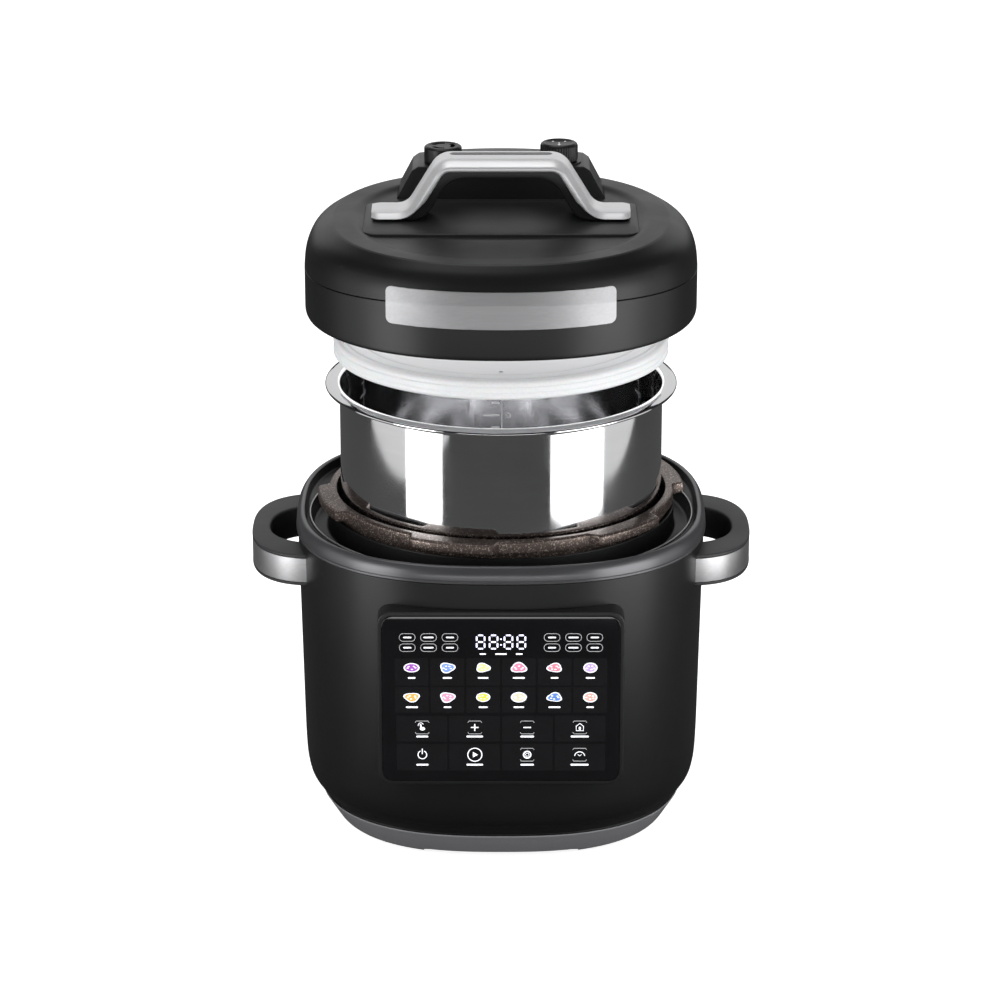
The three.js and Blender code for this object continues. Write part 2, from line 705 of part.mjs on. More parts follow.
function cupBracket() {
  const w = cup.width / 2 + cup.lip + 3;
  const roof = block([-w, shellHalfDepth - 6, cupTopZ + 3.2], [w, cupY + cup.depth, cupTopZ + 5.6]);
  const back = block([-w, shellHalfDepth - 6, cupTopZ - 8], [w, cupY - 0.4, cupTopZ + 14]);
  const rails = [-1, 1].flatMap((side) => {
    const outer = side * w;
    const wall = side * (w - 2.2);
    const shelf = side * (w - 5);
    const span = (p, q) => [Math.min(p, q), Math.max(p, q)];
    const [x0, x1] = span(outer, wall);
    const [x2, x3] = span(outer, shelf);
    return [
      block([x0, cupY - 2, cupTopZ - 2.4], [x1, cupY + cup.depth, cupTopZ + 4]),
      block([x2, cupY - 2, cupTopZ - 2.8], [x3, cupY + cup.depth, cupTopZ - 0.8]),
    ];
  });
  const drain = bar(5, -20, 20).rotateX(Math.PI / 2).translate(0, shellHalfDepth, cupTopZ + 10.4);
  return shaped(back, { join: [roof, ...rails], cut: [shellEnvelope, drain] });
}

function condensateCup() {
  const w = cup.width / 2;
  const outside = block([-w, cupY, cupTopZ - cup.height], [w, cupY + cup.depth, cupTopZ + 2.4]);
  const rims = [-1, 1].map((side) => {
    const [x0, x1] = side > 0 ? [w - 1, w + cup.lip - 0.6] : [-w - cup.lip + 0.6, -w + 1];
    return block([x0, cupY, cupTopZ], [x1, cupY + cup.depth, cupTopZ + 2.4]);
  });
  const hollow = block(
    [-w + cup.wall, cupY + cup.wall, cupTopZ - cup.height + cup.wall],
    [w - cup.wall, cupY + cup.depth - cup.wall, cupTopZ + 5],
  );
  return shaped(outside, { join: rims, cut: [hollow] });
}

// ---------------------------------------------------------------- inner pot

function innerPot() {
  const outer = pot.radius;
  const inner = outer - pot.wall;
  const corner = pot.cornerRadius;
  const bend = (r, centreR, centreZ, from, to, steps) =>
    Array.from({ length: steps + 1 }, (_, i) => {
      const angle = from + ((to - from) * i) / steps;
      return [centreR + r * Math.cos(angle), centreZ + r * Math.sin(angle)];
    });
  const rimOuter = outer + pot.rimReach;
  const seatZ = potTopZ - pot.rimHeight;
  return turned([
    [0, potFloorZ],
    ...bend(corner, outer - corner, potFloorZ + corner, -Math.PI / 2, 0, 4),
    [outer, seatZ - 3],
    [outer + 1.4, seatZ],
    [rimOuter - 0.8, seatZ],
    [rimOuter, seatZ + 0.8],
    [rimOuter, seatZ + 1.8],
    [rimOuter - 1.4, potTopZ - 0.6],
    [outer + 5, potTopZ],
    [outer + 1, potTopZ - 1.4],
    [inner, seatZ - 2.4],
    ...bend(corner - pot.wall, outer - corner, potFloorZ + corner, 0, -Math.PI / 2, 4),
    [0, potFloorZ + pot.wall],
  ]);
}

// ---------------------------------------------------------------- sealing ring and inner plate

function sealingRing() {
  const topZ = sealZ + sealRing.height;
  return turnedRing([
    [sealRadius - 10, sealZ],
    [sealRadius - 1.5, sealZ],
    [sealRadius, sealZ + 1.4],
    [sealRadius, topZ - 1.6],
    [sealRadius - 1.6, topZ],
    [sealInnerRadius, topZ - 0.4],
    [sealInnerRadius, topZ - sealRing.web],
    [sealRadius - 3.2, topZ - sealRing.web - 0.6],
    [sealRadius - 3, sealZ + 2.4],
    [sealRadius - 10, sealZ + sealRing.lip],
  ]);
}

function innerPlate() {
  const edge = sealInnerRadius - 0.6;
  const lowZ = plateTopZ - plate.thickness;
  const flangeTop = sealZ + sealRing.height - sealRing.web - 0.6 - 0.5;
  const disc = turnedRing([
    [grommet.radius - 2.5, lowZ],
    [edge - 4, lowZ],
    [edge - 2, flangeTop - plate.flangeThickness],
    [sealRadius - 4, flangeTop - plate.flangeThickness],
    [sealRadius - 4, flangeTop],
    [edge, flangeTop],
    [edge, plateTopZ - 0.6],
    [edge - 0.6, plateTopZ],
    [grommet.radius - 2.5, plateTopZ],
  ]);
  const vents = Array.from({ length: plate.ventCount }, (_, i) => {
    const angle = frontAngle + (2 * Math.PI * i) / plate.ventCount;
    const r = edge - plate.ventInset;
    return bar(plate.ventRadius, lowZ - 2, plateTopZ + 2, r * Math.cos(angle), r * Math.sin(angle), 8);
  });
  return shaped(disc, { cut: vents });
}

const grommet = { radius: 9.5, bore: 4.6 };

function plateGrommet() {
  const lowZ = plateTopZ - plate.thickness - gap;
  const highZ = plateTopZ + gap;
  return turnedRing([
    [grommet.bore, lowZ - 3],
    [grommet.radius, lowZ - 3],
    [grommet.radius, lowZ],
    [grommet.radius - 2.8, lowZ],
    [grommet.radius - 2.8, highZ],
    [grommet.radius, highZ],
    [grommet.radius - 1, highZ + 1.5],
    [grommet.bore, highZ + 1.5],
  ], midSteps);
}

// ---------------------------------------------------------------- lid: shells

// The seam between the lid's side band and its top: high at the front and rear and low at the sides.
const seamZ = (angle) => lidZ + lid.seamMean - lid.seamWave * Math.cos(2 * angle);

// Outer rings of the lid from the seam to the crown edge, grown by a clearance.
function shoulderRings(grow = 0) {
  const [a, b] = [lidHalfWidth + grow, lidHalfDepth + grow];
  const [cw, cd] = [crownHalfWidth + grow, crownHalfDepth + grow];
  const between = (t, z) => ring(a + (cw - a) * t, b + (cd - b) * t, z, lid.squareness);
  const crownZ = lidZ + crown.height + grow;
  return [
    between(0, seamZ),
    between(0.06, (angle) => seamZ(angle) * 0.45 + (crownZ - 9) * 0.55),
    between(0.3, crownZ - 7.5),
    between(0.66, crownZ - 2.6),
    between(1, crownZ),
  ];
}

// Rings of the crown from its edge to the middle.
function crownRings(grow = 0) {
  const z = lidZ + crown.height + grow;
  const ringIn = crown.ringWidth;
  return [
    ring(crownHalfWidth - ringIn, crownHalfDepth - ringIn + 3, z + 0.3, lid.squareness),
    ring(crownHalfWidth - ringIn - 4, crownHalfDepth - ringIn - 1, z - crown.dish, lid.squareness),
    circle(40, z - crown.dish - 0.6),
  ];
}

const lidFloorZ = lidZ + crown.height - crown.dish - 0.6;
const pad = { margin: 5, depth: 84, corner: 6, y: -2, height: 2.2 };
const padTopZ = lidFloorZ + pad.height;

// Everything under the lid's outer surface, grown by a clearance.
function lidEnvelope(grow) {
  const foot = ring(lidHalfWidth + grow, lidHalfDepth + grow, lidZ - 5, lid.squareness);
  return loft([foot, ...shoulderRings(grow), ...crownRings(grow)]);
}

const handlePad = (grow) => {
  const width = 2 * (lidHandle.halfSpan + pad.margin + grow);
  const outline = roundedRectangle(width, pad.depth, pad.corner, 0, pad.y);
  return slab(outline, lidFloorZ - 4, padTopZ + grow);
};

function lidShell() {
  const shoulder = shoulderRings();
  shoulder[0].z = (angle) => seamZ(angle) + gap;
  const t = crown.wall;
  const underside = lidFloorZ - t;
  const inner = (inset, z) => ring(lidHalfWidth - inset, lidHalfDepth - inset, z, lid.squareness);
  const cavity = loft([
    inner(t, lidZ - 1),
    inner(t, (angle) => seamZ(angle) + gap),
    inner(t + 0.6, (angle) => seamZ(angle) + 5),
    ring(crownHalfWidth + 6, crownHalfDepth + 6, lidZ + crown.height - 9, lid.squareness),
    ring(crownHalfWidth - 12, crownHalfDepth - 12, underside, lid.squareness),
    circle(40, underside),
  ]);
  const bosses = [90, 210, 330].map((angle) => {
    const [x, y] = [60 * Math.cos(angle * degrees), 60 * Math.sin(angle * degrees)];
    return bar(4, dishRoofZ + dish.roof + gap, underside + 1, x, y);
  });
  const screwHoles = [-1, 1].map((side) =>
    bar(lidScrew.shankRadius + gap, lidZ, padTopZ + 5, side * lidScrew.x, lidHandle.y));
  const valveHoles = [-1, 1].map((side) =>
    bar(valve.pipeRadius + 0.6, lidZ, padTopZ + 20, side * valve.x, valve.y));
  const edge = inner(t + 1, (angle) => seamZ(angle) + gap);
  const top = shaped(loft([edge, ...shoulder, ...crownRings()]), { join: [handlePad(0)], cut: [cavity] });
  return shaped(top, { join: bosses, cut: [...screwHoles, ...valveHoles] });
}

function lidBand() {
  const at = (inset, z) => ring(lidHalfWidth - inset, lidHalfDepth - inset, z, lid.squareness);
  return loft(
    [
      at(3.2, lidZ),
      at(1, lidZ + 1),
      at(0, lidZ + 3.4),
      at(0, seamZ),
      at(crown.wall, seamZ),
      at(lid.wall - gap, lidZ + 14),
      at(lid.wall - gap, lidZ + 0.8),
    ],
    true,
  );
}

function lidFrontPlate() {
  const mask = upright(
    roundedRectangle(149, 24.5, 4, 0, lidZ + 34), -lidHalfDepth - 10, -lidHalfDepth + 28);
  return shaped(lidEnvelope(1.7), { keep: [mask], cut: [lidEnvelope(gap)] });
}

// ---------------------------------------------------------------- lid: valve deck

const deckTopZ = lidZ + deck.top;

// The raised block behind the handle: sides that lean in, a ramp at the front and a curved rear.
function deckBlock(inset, footZ) {
  const topZ = deckTopZ - inset;
  const [narrow, wide] = [deck.halfWidth - inset, deck.halfWidth + deck.spread - inset];
  const across = new THREE.Shape();
  across.moveTo(-wide - 6, footZ);
  across.lineTo(wide + 6, footZ);
  across.lineTo(narrow + 4, topZ - 2.5);
  across.lineTo(narrow, topZ);
  across.lineTo(-narrow, topZ);
  across.lineTo(-narrow - 4, topZ - 2.5);
  const along = new THREE.Shape();
  along.moveTo(deck.frontY + inset, footZ);
  along.lineTo(deck.rearY + 20, footZ);
  along.lineTo(deck.rearY + 20, topZ + 1);
  along.lineTo(deck.frontY + inset + deck.ramp, topZ + 1);
  const plan = new THREE.Shape();
  plan.absellipse(0, 0, deck.rearY + 10 - inset, deck.rearY - inset, 0, 2 * Math.PI);
  return shaped(upright(across, 0, deck.rearY + 10), {
    keep: [sideways(along, -140, 140), slab(plan, footZ - 1, topZ + 2, 20)],
  });
}

function lidDeck() {
  const collarRadius = valve.knobRadius + 2.4;
  const collar = bar(collarRadius, deckTopZ - 1, deckTopZ + deck.collar, valve.x, valve.y, midSteps);
  return shaped(deckBlock(0, lidFloorZ - 8), {
    join: [collar],
    cut: [
      lidEnvelope(gap),
      handlePad(gap),
      deckBlock(deck.wall, lidFloorZ - 10),
      bar(valve.pipeRadius + 0.6, lidZ, deckTopZ + 5, valve.x, valve.y),
      bar(valve.floatRadius + 0.6, lidZ, deckTopZ + 5, -valve.x, valve.y),
    ],
  });
}

// ---------------------------------------------------------------- lid: handle

const lidScrew = { x: 56, headRadius: 3.6, headHeight: 2, shankRadius: 1.7, length: 12.5 };
const handleFootZ = padTopZ + 5.5;
const handleBarZ = handleFootZ + lidHandle.rise;

const point = (x, y) => new THREE.Vector2(x, y);

// A line of points with each inner corner rounded off.
function filleted(points, radius, steps = 4) {
  const line = [points[0]];
  for (let i = 1; i < points.length - 1; i++) {
    const [before, corner, after] = points.slice(i - 1, i + 2);
    const start = corner.clone().lerp(before, radius / corner.distanceTo(before));
    const end = corner.clone().lerp(after, radius / corner.distanceTo(after));
    line.push(...new THREE.QuadraticBezierCurve(start, corner, end).getPoints(steps));
  }
  line.push(points.at(-1));
  return line;
}

// The same line moved sideways to its left by a distance.
function movedAside(points, distance) {
  return points.map((p, i) => {
    const into = p.clone().sub(points[Math.max(i - 1, 0)]);
    const out = points[Math.min(i + 1, points.length - 1)].clone().sub(p);
    if (!into.lengthSq()) into.copy(out);
    if (!out.lengthSq()) out.copy(into);
    const [a, b] = [into.normalize(), out.normalize()].map((v) => point(-v.y, v.x));
    const mitre = a.clone().add(b).normalize();
    return p.clone().addScaledVector(mitre, distance / mitre.dot(a));
  });
}

// The points of a left half, given with their distances from the middle, and then the right half.
const mirroredLine = (half) => [
  ...half.map(([x, z]) => point(-x, z)),
  ...half.reverse().map(([x, z]) => point(x, z)),
];

const handleTopLine = filleted(
  mirroredLine([
    [lidHandle.halfSpan, handleFootZ],
    [lidHandle.halfSpan - lidHandle.footLength, handleFootZ],
    [lidHandle.topHalf, handleBarZ],
  ]),
  8,
);

const handleY0 = lidHandle.y - lidHandle.depth / 2;
const handleY1 = lidHandle.y + lidHandle.depth / 2;

function lidHandleCap() {
  const under = movedAside(handleTopLine, -lidHandle.trim).reverse();
  const slot = slab(roundedRectangle(70, 8, 3.9, 0, lidHandle.y), handleBarZ - 10, handleBarZ + 5);
  const side = new THREE.Shape([...handleTopLine, ...under]);
  return shaped(upright(side, handleY0, handleY1), { cut: [slot] });
}

function lidHandleCore() {
  const upper = movedAside(handleTopLine, -lidHandle.trim - gap);
  upper[0].x += 1;
  upper.at(-1).x -= 1;
  const lowZ = padTopZ + gap;
  const lower = filleted(
    mirroredLine([
      [lidHandle.halfSpan - 1, lowZ],
      [lidHandle.halfSpan - lidHandle.footLength - 12, lowZ],
      [lidHandle.topHalf - 7, handleBarZ - lidHandle.core],
    ]),
    5,
  ).reverse();
  const pilots = [-1, 1].map((side) =>
    bar(lidScrew.shankRadius + gap, lowZ - 1, lowZ + 7, side * lidScrew.x, lidHandle.y));
  const side = new THREE.Shape([...upper, ...lower]);
  return shaped(upright(side, handleY0 + 2, handleY1 - 2), { cut: pilots });
}

const lidHandleScrew = (side) =>
  screw(side * lidScrew.x, lidHandle.y, lidFloorZ - crown.wall - gap - lidScrew.headHeight, lidScrew);

// ---------------------------------------------------------------- lid: pressure parts

const dishTopZ = dishRoofZ + dish.roof;
const lidLugTopZ = flangeTopZ - flange.lugThickness - dish.lugClearance;

function lidDish() {
  const lugLowZ = lidLugTopZ - dish.lugThickness;
  const shoulderZ = flangeTopZ + 6;
  const roofRadius = wellOuterRadius + 2.6;
  const body = turned([
    [0, dishRoofZ],
    [roofRadius, dishRoofZ],
    [skirtRadius, shoulderZ],
    [skirtRadius, lugLowZ],
    [skirtRadius + dish.skirt, lugLowZ],
    [skirtRadius + dish.skirt, shoulderZ],
    [roofRadius + 1, dishTopZ],
    [0, dishTopZ],
  ]);
  const half = (flange.lugAngle / 2 - 2) * degrees;
  const lugs = lugAngles.map((middle) => {
    const centre = middle + (180 / flange.lugCount) * degrees;
    return arcSlab(
      flangeRadius + dish.lugInner, skirtRadius + 0.6, centre - half, centre + half, lugLowZ, lidLugTopZ);
  });
  return shaped(body, {
    join: lugs,
    cut: [
      bar(valve.pipeRadius + gap, lidZ, dishTopZ + 5, valve.x, valve.y),
      bar(valve.floatRadius + 0.5, lidZ, dishTopZ + 5, -valve.x, valve.y),
      bar(stud.pinRadius + gap, lidZ, dishTopZ + 5),
    ],
  });
}

const stud = { radius: 4, pinRadius: 2.6, flangeRadius: 8 };

const plateStud = () => {
  const lowZ = plateTopZ - plate.thickness - 4.4;
  const flangeZ = dishRoofZ - gap;
  return turned([
    [0, lowZ],
    [stud.radius - 1, lowZ],
    [stud.radius, lowZ + 1],
    [stud.radius, flangeZ - 2],
    [stud.flangeRadius, flangeZ - 2],
    [stud.flangeRadius, flangeZ],
    [stud.pinRadius, flangeZ],
    [stud.pinRadius, dishTopZ + 2],
    [0, dishTopZ + 2],
  ], smallSteps);
};

function steamPipe() {
  const r = valve.pipeRadius;
  return turnedRing([
    [valve.pipeBore, dishRoofZ - 4.5],
    [r, dishRoofZ - 4.5],
    [r, dishTopZ + gap],
    [r + 3.5, dishTopZ + gap],
    [r + 3.5, dishTopZ + gap + 1.8],
    [r, dishTopZ + gap + 1.8],
    [r, deckTopZ + 6.5],
    [valve.pipeBore, deckTopZ + 6.5],
  ], smallSteps).translate(valve.x, valve.y, 0);
}

function pipeNut() {
  const z1 = dishRoofZ - gap;
  return shaped(bar(8, z1 - 3, z1, valve.x, valve.y, 6), {
    cut: [bar(valve.pipeRadius + gap, z1 - 4, z1 + 1, valve.x, valve.y)],
  });
}

function antiBlockShield() {
  const topZ = dishRoofZ - gap;
  const lowZ = topZ - 6.6;
  const cap = turned([
    [0, lowZ],
    [11.5, lowZ],
    [11.5, topZ],
    [10.2, topZ],
    [10.2, lowZ + 1.1],
    [0, lowZ + 1.1],
  ], midSteps);
  const slots = [0, 60, 120].map((angle) =>
    block([-14, -1.3, lowZ + 1.6], [14, 1.3, topZ - 1.4]).rotateZ(angle * degrees));
  return shaped(cap, { cut: slots }).translate(valve.x, valve.y, 0);
}

function floatPin() {
  const lowZ = dishRoofZ - 6;
  const r = valve.floatRadius;
  return turned([
    [0, lowZ],
    [5.4, lowZ],
    [5.4, lowZ + 2],
    [r, lowZ + 2],
    [r, deckTopZ + 3.4],
    [4.4, deckTopZ + 3.4],
    [4.4, deckTopZ + 5],
    [0, deckTopZ + 5.4],
  ], smallSteps).translate(-valve.x, valve.y, 0);
}

function floatValveCap() {
  const z0 = deckTopZ + gap;
  const z1 = deckTopZ + 11.5;
  const cap = turned([
    [0, z1 - 1.8],
    [10.6, z1 - 1.8],
    [10.6, z0],
    [valve.knobRadius, z0],
    [valve.knobRadius, z1 - 1],
    [valve.knobRadius - 1, z1],
    [0, z1],
  ], midSteps);
  const slots = [0, 120, 240].map((angle) =>
    arcSlab(5.4, 8.6, (angle - 40) * degrees, (angle + 40) * degrees, z1 - 4, z1 + 1));
  const window = block([-2.6, -15, z0 + 2], [2.6, -8, z1 - 3]);
  return shaped(cap, { cut: [...slots, window] }).translate(-valve.x, valve.y, 0);
}

function steamKnob() {
  const ridges = 24;
  const outline = Array.from({ length: ridges * 2 }, (_, i) => {
    const angle = (Math.PI * i) / ridges;
    const r = valve.knobRadius - (i % 2) * 0.7;
    return point(r * Math.cos(angle), r * Math.sin(angle));
  });
  const z0 = deckTopZ + deck.collar + gap;
  const top = z0 + valve.knobHeight;
  return shaped(slab(new THREE.Shape(outline), z0, top), {
    cut: [bar(valve.pipeRadius + 0.5, z0 - 1, z0 + 8, 0, 0)],
  }).translate(valve.x, valve.y, 0);
}

// ---------------------------------------------------------------- assembly

const cooker = new THREE.Group();
const potGroup = new THREE.Group();
const sealGroup = new THREE.Group();
const lidGroup = new THREE.Group();
potGroup.position.z = lift.pot;
sealGroup.position.z = lift.seal;
lidGroup.position.z = lift.lid;
cooker.add(potGroup);
potGroup.add(sealGroup);
sealGroup.add(lidGroup);

cooker.add(
  named("base_tray", baseTray(), greyPlastic),
  named("body_shell", bodyShell(), satinBlack),
  named("top_rim", topRim(), gunmetal),
  named("pot_support", potSupport(), zincSteel),
  named("outer_pot", outerPot(), castBronze),
  named("heating_plate", heatingPlate(), aluminium),
  named("sensor_probe", sensorProbe(), aluminium),
  named("sensor_spring", sensorSpring(), zincSteel),
  named("sensor_bracket", sensorBracket(), zincSteel),
  named("heat_shield", heatShield(), zincSteel),
  named("thermal_fuse", thermalFuse(), clearPlastic),
  named("panel_frame", panelFrame(), blackPlastic),
  named("panel_glass", panelGlass(), gloss),
  named("control_board", controlBoard(), circuitGreen),
  named("display_module", displayModule(), blackPlastic),
  named("light_guide", lightGuide(), clearPlastic),
  named("power_board", powerBoard(), circuitGreen),
  named("relay", relay(), blackPlastic),
  named("capacitor", capacitor(), blackPlastic),
  named("transformer", transformer(), zincSteel),
  named("power_inlet", powerInlet(), blackPlastic),
  named("wire_harness", wireHarness(), rubber),
  named("cup_bracket", cupBracket(), blackPlastic),
  named("condensate_cup", condensateCup(), clearPlastic),
);

corners.forEach(([sx, sy], i) => {
  const r = baseScrew.reach * Math.SQRT1_2;
  cooker.add(
    named(`foot_${i + 1}`, rubberFoot(sx, sy), rubber),
    named(`base_screw_${i + 1}`, screw(r * sx, r * sy, base.floorZ + 0.3, baseScrew), zincSteel),
  );
});

const sides = [
  [-1, "left"],
  [1, "right"],
];
const places = [
  [-50, "front"],
  [50, "rear"],
];
for (const [side, word] of sides) {
  cooker.add(
    named(`handle_${word}`, handleBody(side), blackPlastic),
    named(`handle_band_${word}`, handleBand(side), brushedSilver),
  );
  for (const [y, place] of places) {
    cooker.add(named(`handle_screw_${word}_${place}`, handleScrew(side, y), zincSteel));
  }
  lidGroup.add(named(`lid_handle_screw_${word}`, lidHandleScrew(side), zincSteel));
}

potGroup.add(named("inner_pot", innerPot(), mirrorSteel));

sealGroup.add(
  named("sealing_ring", sealingRing(), silicone),
  named("inner_plate", innerPlate(), aluminium),
  named("plate_grommet", plateGrommet(), silicone),
);

lidGroup.add(
  named("lid_shell", lidShell(), satinBlack),
  named("lid_band", lidBand(), satinBlack),
  named("lid_front_plate", lidFrontPlate(), brushedSilver),
  named("lid_deck", lidDeck(), blackPlastic),
  named("lid_handle_core", lidHandleCore(), blackPlastic),
  named("lid_handle_cap", lidHandleCap(), brushedSilver),
  named("lid_dish", lidDish(), aluminium),
  named("plate_stud", plateStud(), zincSteel),
  named("steam_pipe", steamPipe(), zincSteel),
  named("pipe_nut", pipeNut(), zincSteel),
  named("anti_block_shield", antiBlockShield(), zincSteel),
  named("float_pin", floatPin(), zincSteel),
  named("float_valve_cap", floatValveCap(), blackPlastic),
  named("steam_knob", steamKnob(), blackPlastic),
);

export default cooker;
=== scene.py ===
"""An electric pressure cooker shown apart: base unit, steel pot, seal with its plate, and lid.

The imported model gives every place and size. The classes below build the fine surfaces of each sub-assembly
round it, in millimetres, and the mesh builder turns them into metres.
"""

import functools
import json
import logging
import math
from collections.abc import Callable, Iterable, Sequence
from dataclasses import dataclass, field
from enum import Enum

import bmesh
import bpy
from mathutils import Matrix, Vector

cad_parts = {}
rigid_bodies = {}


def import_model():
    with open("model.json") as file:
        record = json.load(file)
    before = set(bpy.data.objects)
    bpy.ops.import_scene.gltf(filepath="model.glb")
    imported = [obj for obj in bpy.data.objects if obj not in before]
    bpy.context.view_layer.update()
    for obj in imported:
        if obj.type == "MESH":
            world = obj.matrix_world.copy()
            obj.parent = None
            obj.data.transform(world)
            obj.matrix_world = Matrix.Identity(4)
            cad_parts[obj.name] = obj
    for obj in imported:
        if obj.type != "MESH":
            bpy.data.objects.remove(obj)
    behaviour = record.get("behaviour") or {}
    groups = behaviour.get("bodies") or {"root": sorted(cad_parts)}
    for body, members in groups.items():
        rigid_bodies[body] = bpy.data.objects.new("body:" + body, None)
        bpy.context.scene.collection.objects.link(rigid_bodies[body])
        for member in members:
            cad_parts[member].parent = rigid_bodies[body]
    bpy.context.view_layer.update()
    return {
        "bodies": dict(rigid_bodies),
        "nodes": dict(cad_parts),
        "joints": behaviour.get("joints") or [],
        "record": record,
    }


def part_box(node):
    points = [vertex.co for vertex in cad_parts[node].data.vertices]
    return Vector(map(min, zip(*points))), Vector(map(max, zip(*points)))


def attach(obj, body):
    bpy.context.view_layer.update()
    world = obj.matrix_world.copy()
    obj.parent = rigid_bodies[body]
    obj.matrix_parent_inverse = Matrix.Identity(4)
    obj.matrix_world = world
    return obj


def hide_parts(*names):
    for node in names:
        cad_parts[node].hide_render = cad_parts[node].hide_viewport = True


LOG = logging.getLogger("cooker")
MM = 0.001
WELD = 1e-6
SHARP = 34.0
FRONT = -math.pi / 2

Point2 = tuple[float, float]
Point3 = tuple[float, float, float]
Corner = tuple[float, float, float]
Colour = tuple[float, float, float]


class Body(Enum):
    """The bodies that pieces ride on."""

    BASE = "base_unit"
    POT = "pot"
    SEAL = "seal"
    PLATE = "plate"
    LID = "lid"
    KNOB = "knob"
    SENSOR = "sensor"
    CUP = "cup"


class Plane(Enum):
    """The plane that a flat outline is drawn in."""

    PLAN = "xy"
    FRONT = "xz"


class Side(Enum):
    """Left and right, as seen from the front."""

    LEFT = -1
    RIGHT = 1


# ------------------------------------------------------------------ finishes


class Graph:
    """A short way to place and join the nodes of a material or a node group."""

    def __init__(self, tree: bpy.types.NodeTree) -> None:
        """Start on a node tree.

        Args:
            tree: The tree that nodes are added to.
        """
        self.tree = tree

    def node(self, kind: str, inputs: dict | None = None, **settings: object) -> bpy.types.Node:
        """Add a node.

        Args:
            kind: The node's class name.
            inputs: Values or output sockets for its inputs, by name or number.
            settings: The node's own properties.

        Returns:
            The new node.
        """
        made = self.tree.nodes.new(kind)
        for name, value in settings.items():
            setattr(made, name, value)
        for key, value in (inputs or {}).items():
            self.feed(made, key, value)
        return made

    def feed(self, node: bpy.types.Node, key: str | int, value: object) -> None:
        """Set one input of a node.

        Args:
            node: The node.
            key: The input's name or number.
            value: A plain value, or the output socket to link.
        """
        if isinstance(value, bpy.types.NodeSocket):
            self.tree.links.new(value, node.inputs[key])
        else:
            node.inputs[key].default_value = value

    def math(self, operation: str, first: object, second: object = 0.0) -> bpy.types.NodeSocket:
        """Add a math node and return its output."""
        return self.node("ShaderNodeMath", {0: first, 1: second}, operation=operation).outputs[0]

    def spread(self, value: bpy.types.NodeSocket, span: Point2, to: Point2) -> bpy.types.NodeSocket:
        """Map a value from one span to another, clamped, and return the output.

        Args:
            value: The socket to map.
            span: The span that it comes in.
            to: The span that it leaves in.

        Returns:
            The mapped value.
        """
        return self.node(
            "ShaderNodeMapRange",
            {"Value": value, "From Min": span[0], "From Max": span[1], "To Min": to[0], "To Max": to[1]},
        ).outputs["Result"]

    def mix(self, factor: object, first: object, second: object) -> bpy.types.NodeSocket:
        """Mix two colours by a factor and return the output.

        Args:
            factor: A number or a socket.
            first: The colour at factor 0.
            second: The colour at factor 1.

        Returns:
            The mixed colour.
        """
        return self.node("ShaderNodeMix", {0: factor, 6: first, 7: second}, data_type="RGBA").outputs[2]


def opaque(colour: Colour) -> tuple[float, float, float, float]:
    """Return a colour with full alpha."""
    return (*colour, 1.0)


def new_group(name: str, inputs: dict[str, object],
              outputs: Sequence[str]) -> tuple[Graph, bpy.types.Node, bpy.types.Node]:
    """Make an empty shader node group with named sockets.

    Args:
        name: The group's name.
        inputs: Each input's default: a number, or None for a vector.
        outputs: The names of the value outputs.

    Returns:
        The group's graph, and its input and output nodes.
    """
    tree = bpy.data.node_groups.new(name, "ShaderNodeTree")
    for label, default in inputs.items():
        kind = "NodeSocketVector" if default is None else "NodeSocketFloat"
        socket = tree.interface.new_socket(label, in_out="INPUT", socket_type=kind)
        if default is not None:
            socket.default_value = default
    for label in outputs:
        tree.interface.new_socket(label, in_out="OUTPUT", socket_type="NodeSocketFloat")
    graph = Graph(tree)
    return graph, graph.node("NodeGroupInput"), graph.node("NodeGroupOutput")


@functools.cache
def grain_group() -> bpy.types.NodeTree:
    """Return the group for the fine texture of a moulding or a casting.

    Returns:
        The group's node tree.
    """
    graph, given, made = new_group("Moulded grain", {"Vector": None, "Scale": 900.0, "Depth": 1.0},
                                   ["Height", "Mask"])
    noise = graph.node("ShaderNodeTexNoise", {"Vector": given.outputs["Vector"], "Scale": given.outputs["Scale"],
                                              "Detail": 3.0, "Roughness": 0.55})
    cells = graph.node("ShaderNodeTexVoronoi", {"Vector": given.outputs["Vector"], "Scale": given.outputs["Scale"]})
    both = graph.math("ADD", graph.math("MULTIPLY", noise.outputs["Fac"], 0.6),
                      graph.math("MULTIPLY", cells.outputs["Distance"], 0.4))
    graph.feed(made, "Height", graph.math("MULTIPLY", both, given.outputs["Depth"]))
    graph.feed(made, "Mask", graph.spread(noise.outputs["Fac"], (0.35, 0.65), (0.0, 1.0)))
    return graph.tree


@functools.cache
def brushing_group() -> bpy.types.NodeTree:
    """Return the group for brush marks, which are long one way and fine the other.

    Returns:
        The group's node tree.
    """
    graph, given, made = new_group("Brush marks", {"Vector": None, "Fineness": 1.0, "Depth": 1.0},
                                   ["Height", "Shade"])
    fine = graph.node("ShaderNodeTexNoise", {"Vector": given.outputs["Vector"], "Scale": given.outputs["Fineness"],
                                             "Detail": 6.0, "Roughness": 0.7})
    broader = graph.math("MULTIPLY", given.outputs["Fineness"], 0.22)
    coarse = graph.node("ShaderNodeTexNoise", {"Vector": given.outputs["Vector"], "Scale": broader, "Detail": 2.0})
    both = graph.math("ADD", graph.math("MULTIPLY", fine.outputs["Fac"], 0.7),
                      graph.math("MULTIPLY", coarse.outputs["Fac"], 0.3))
    graph.feed(made, "Height", graph.math("MULTIPLY", both, given.outputs["Depth"]))
    graph.feed(made, "Shade", graph.spread(both, (0.35, 0.65), (0.0, 1.0)))
    return graph.tree


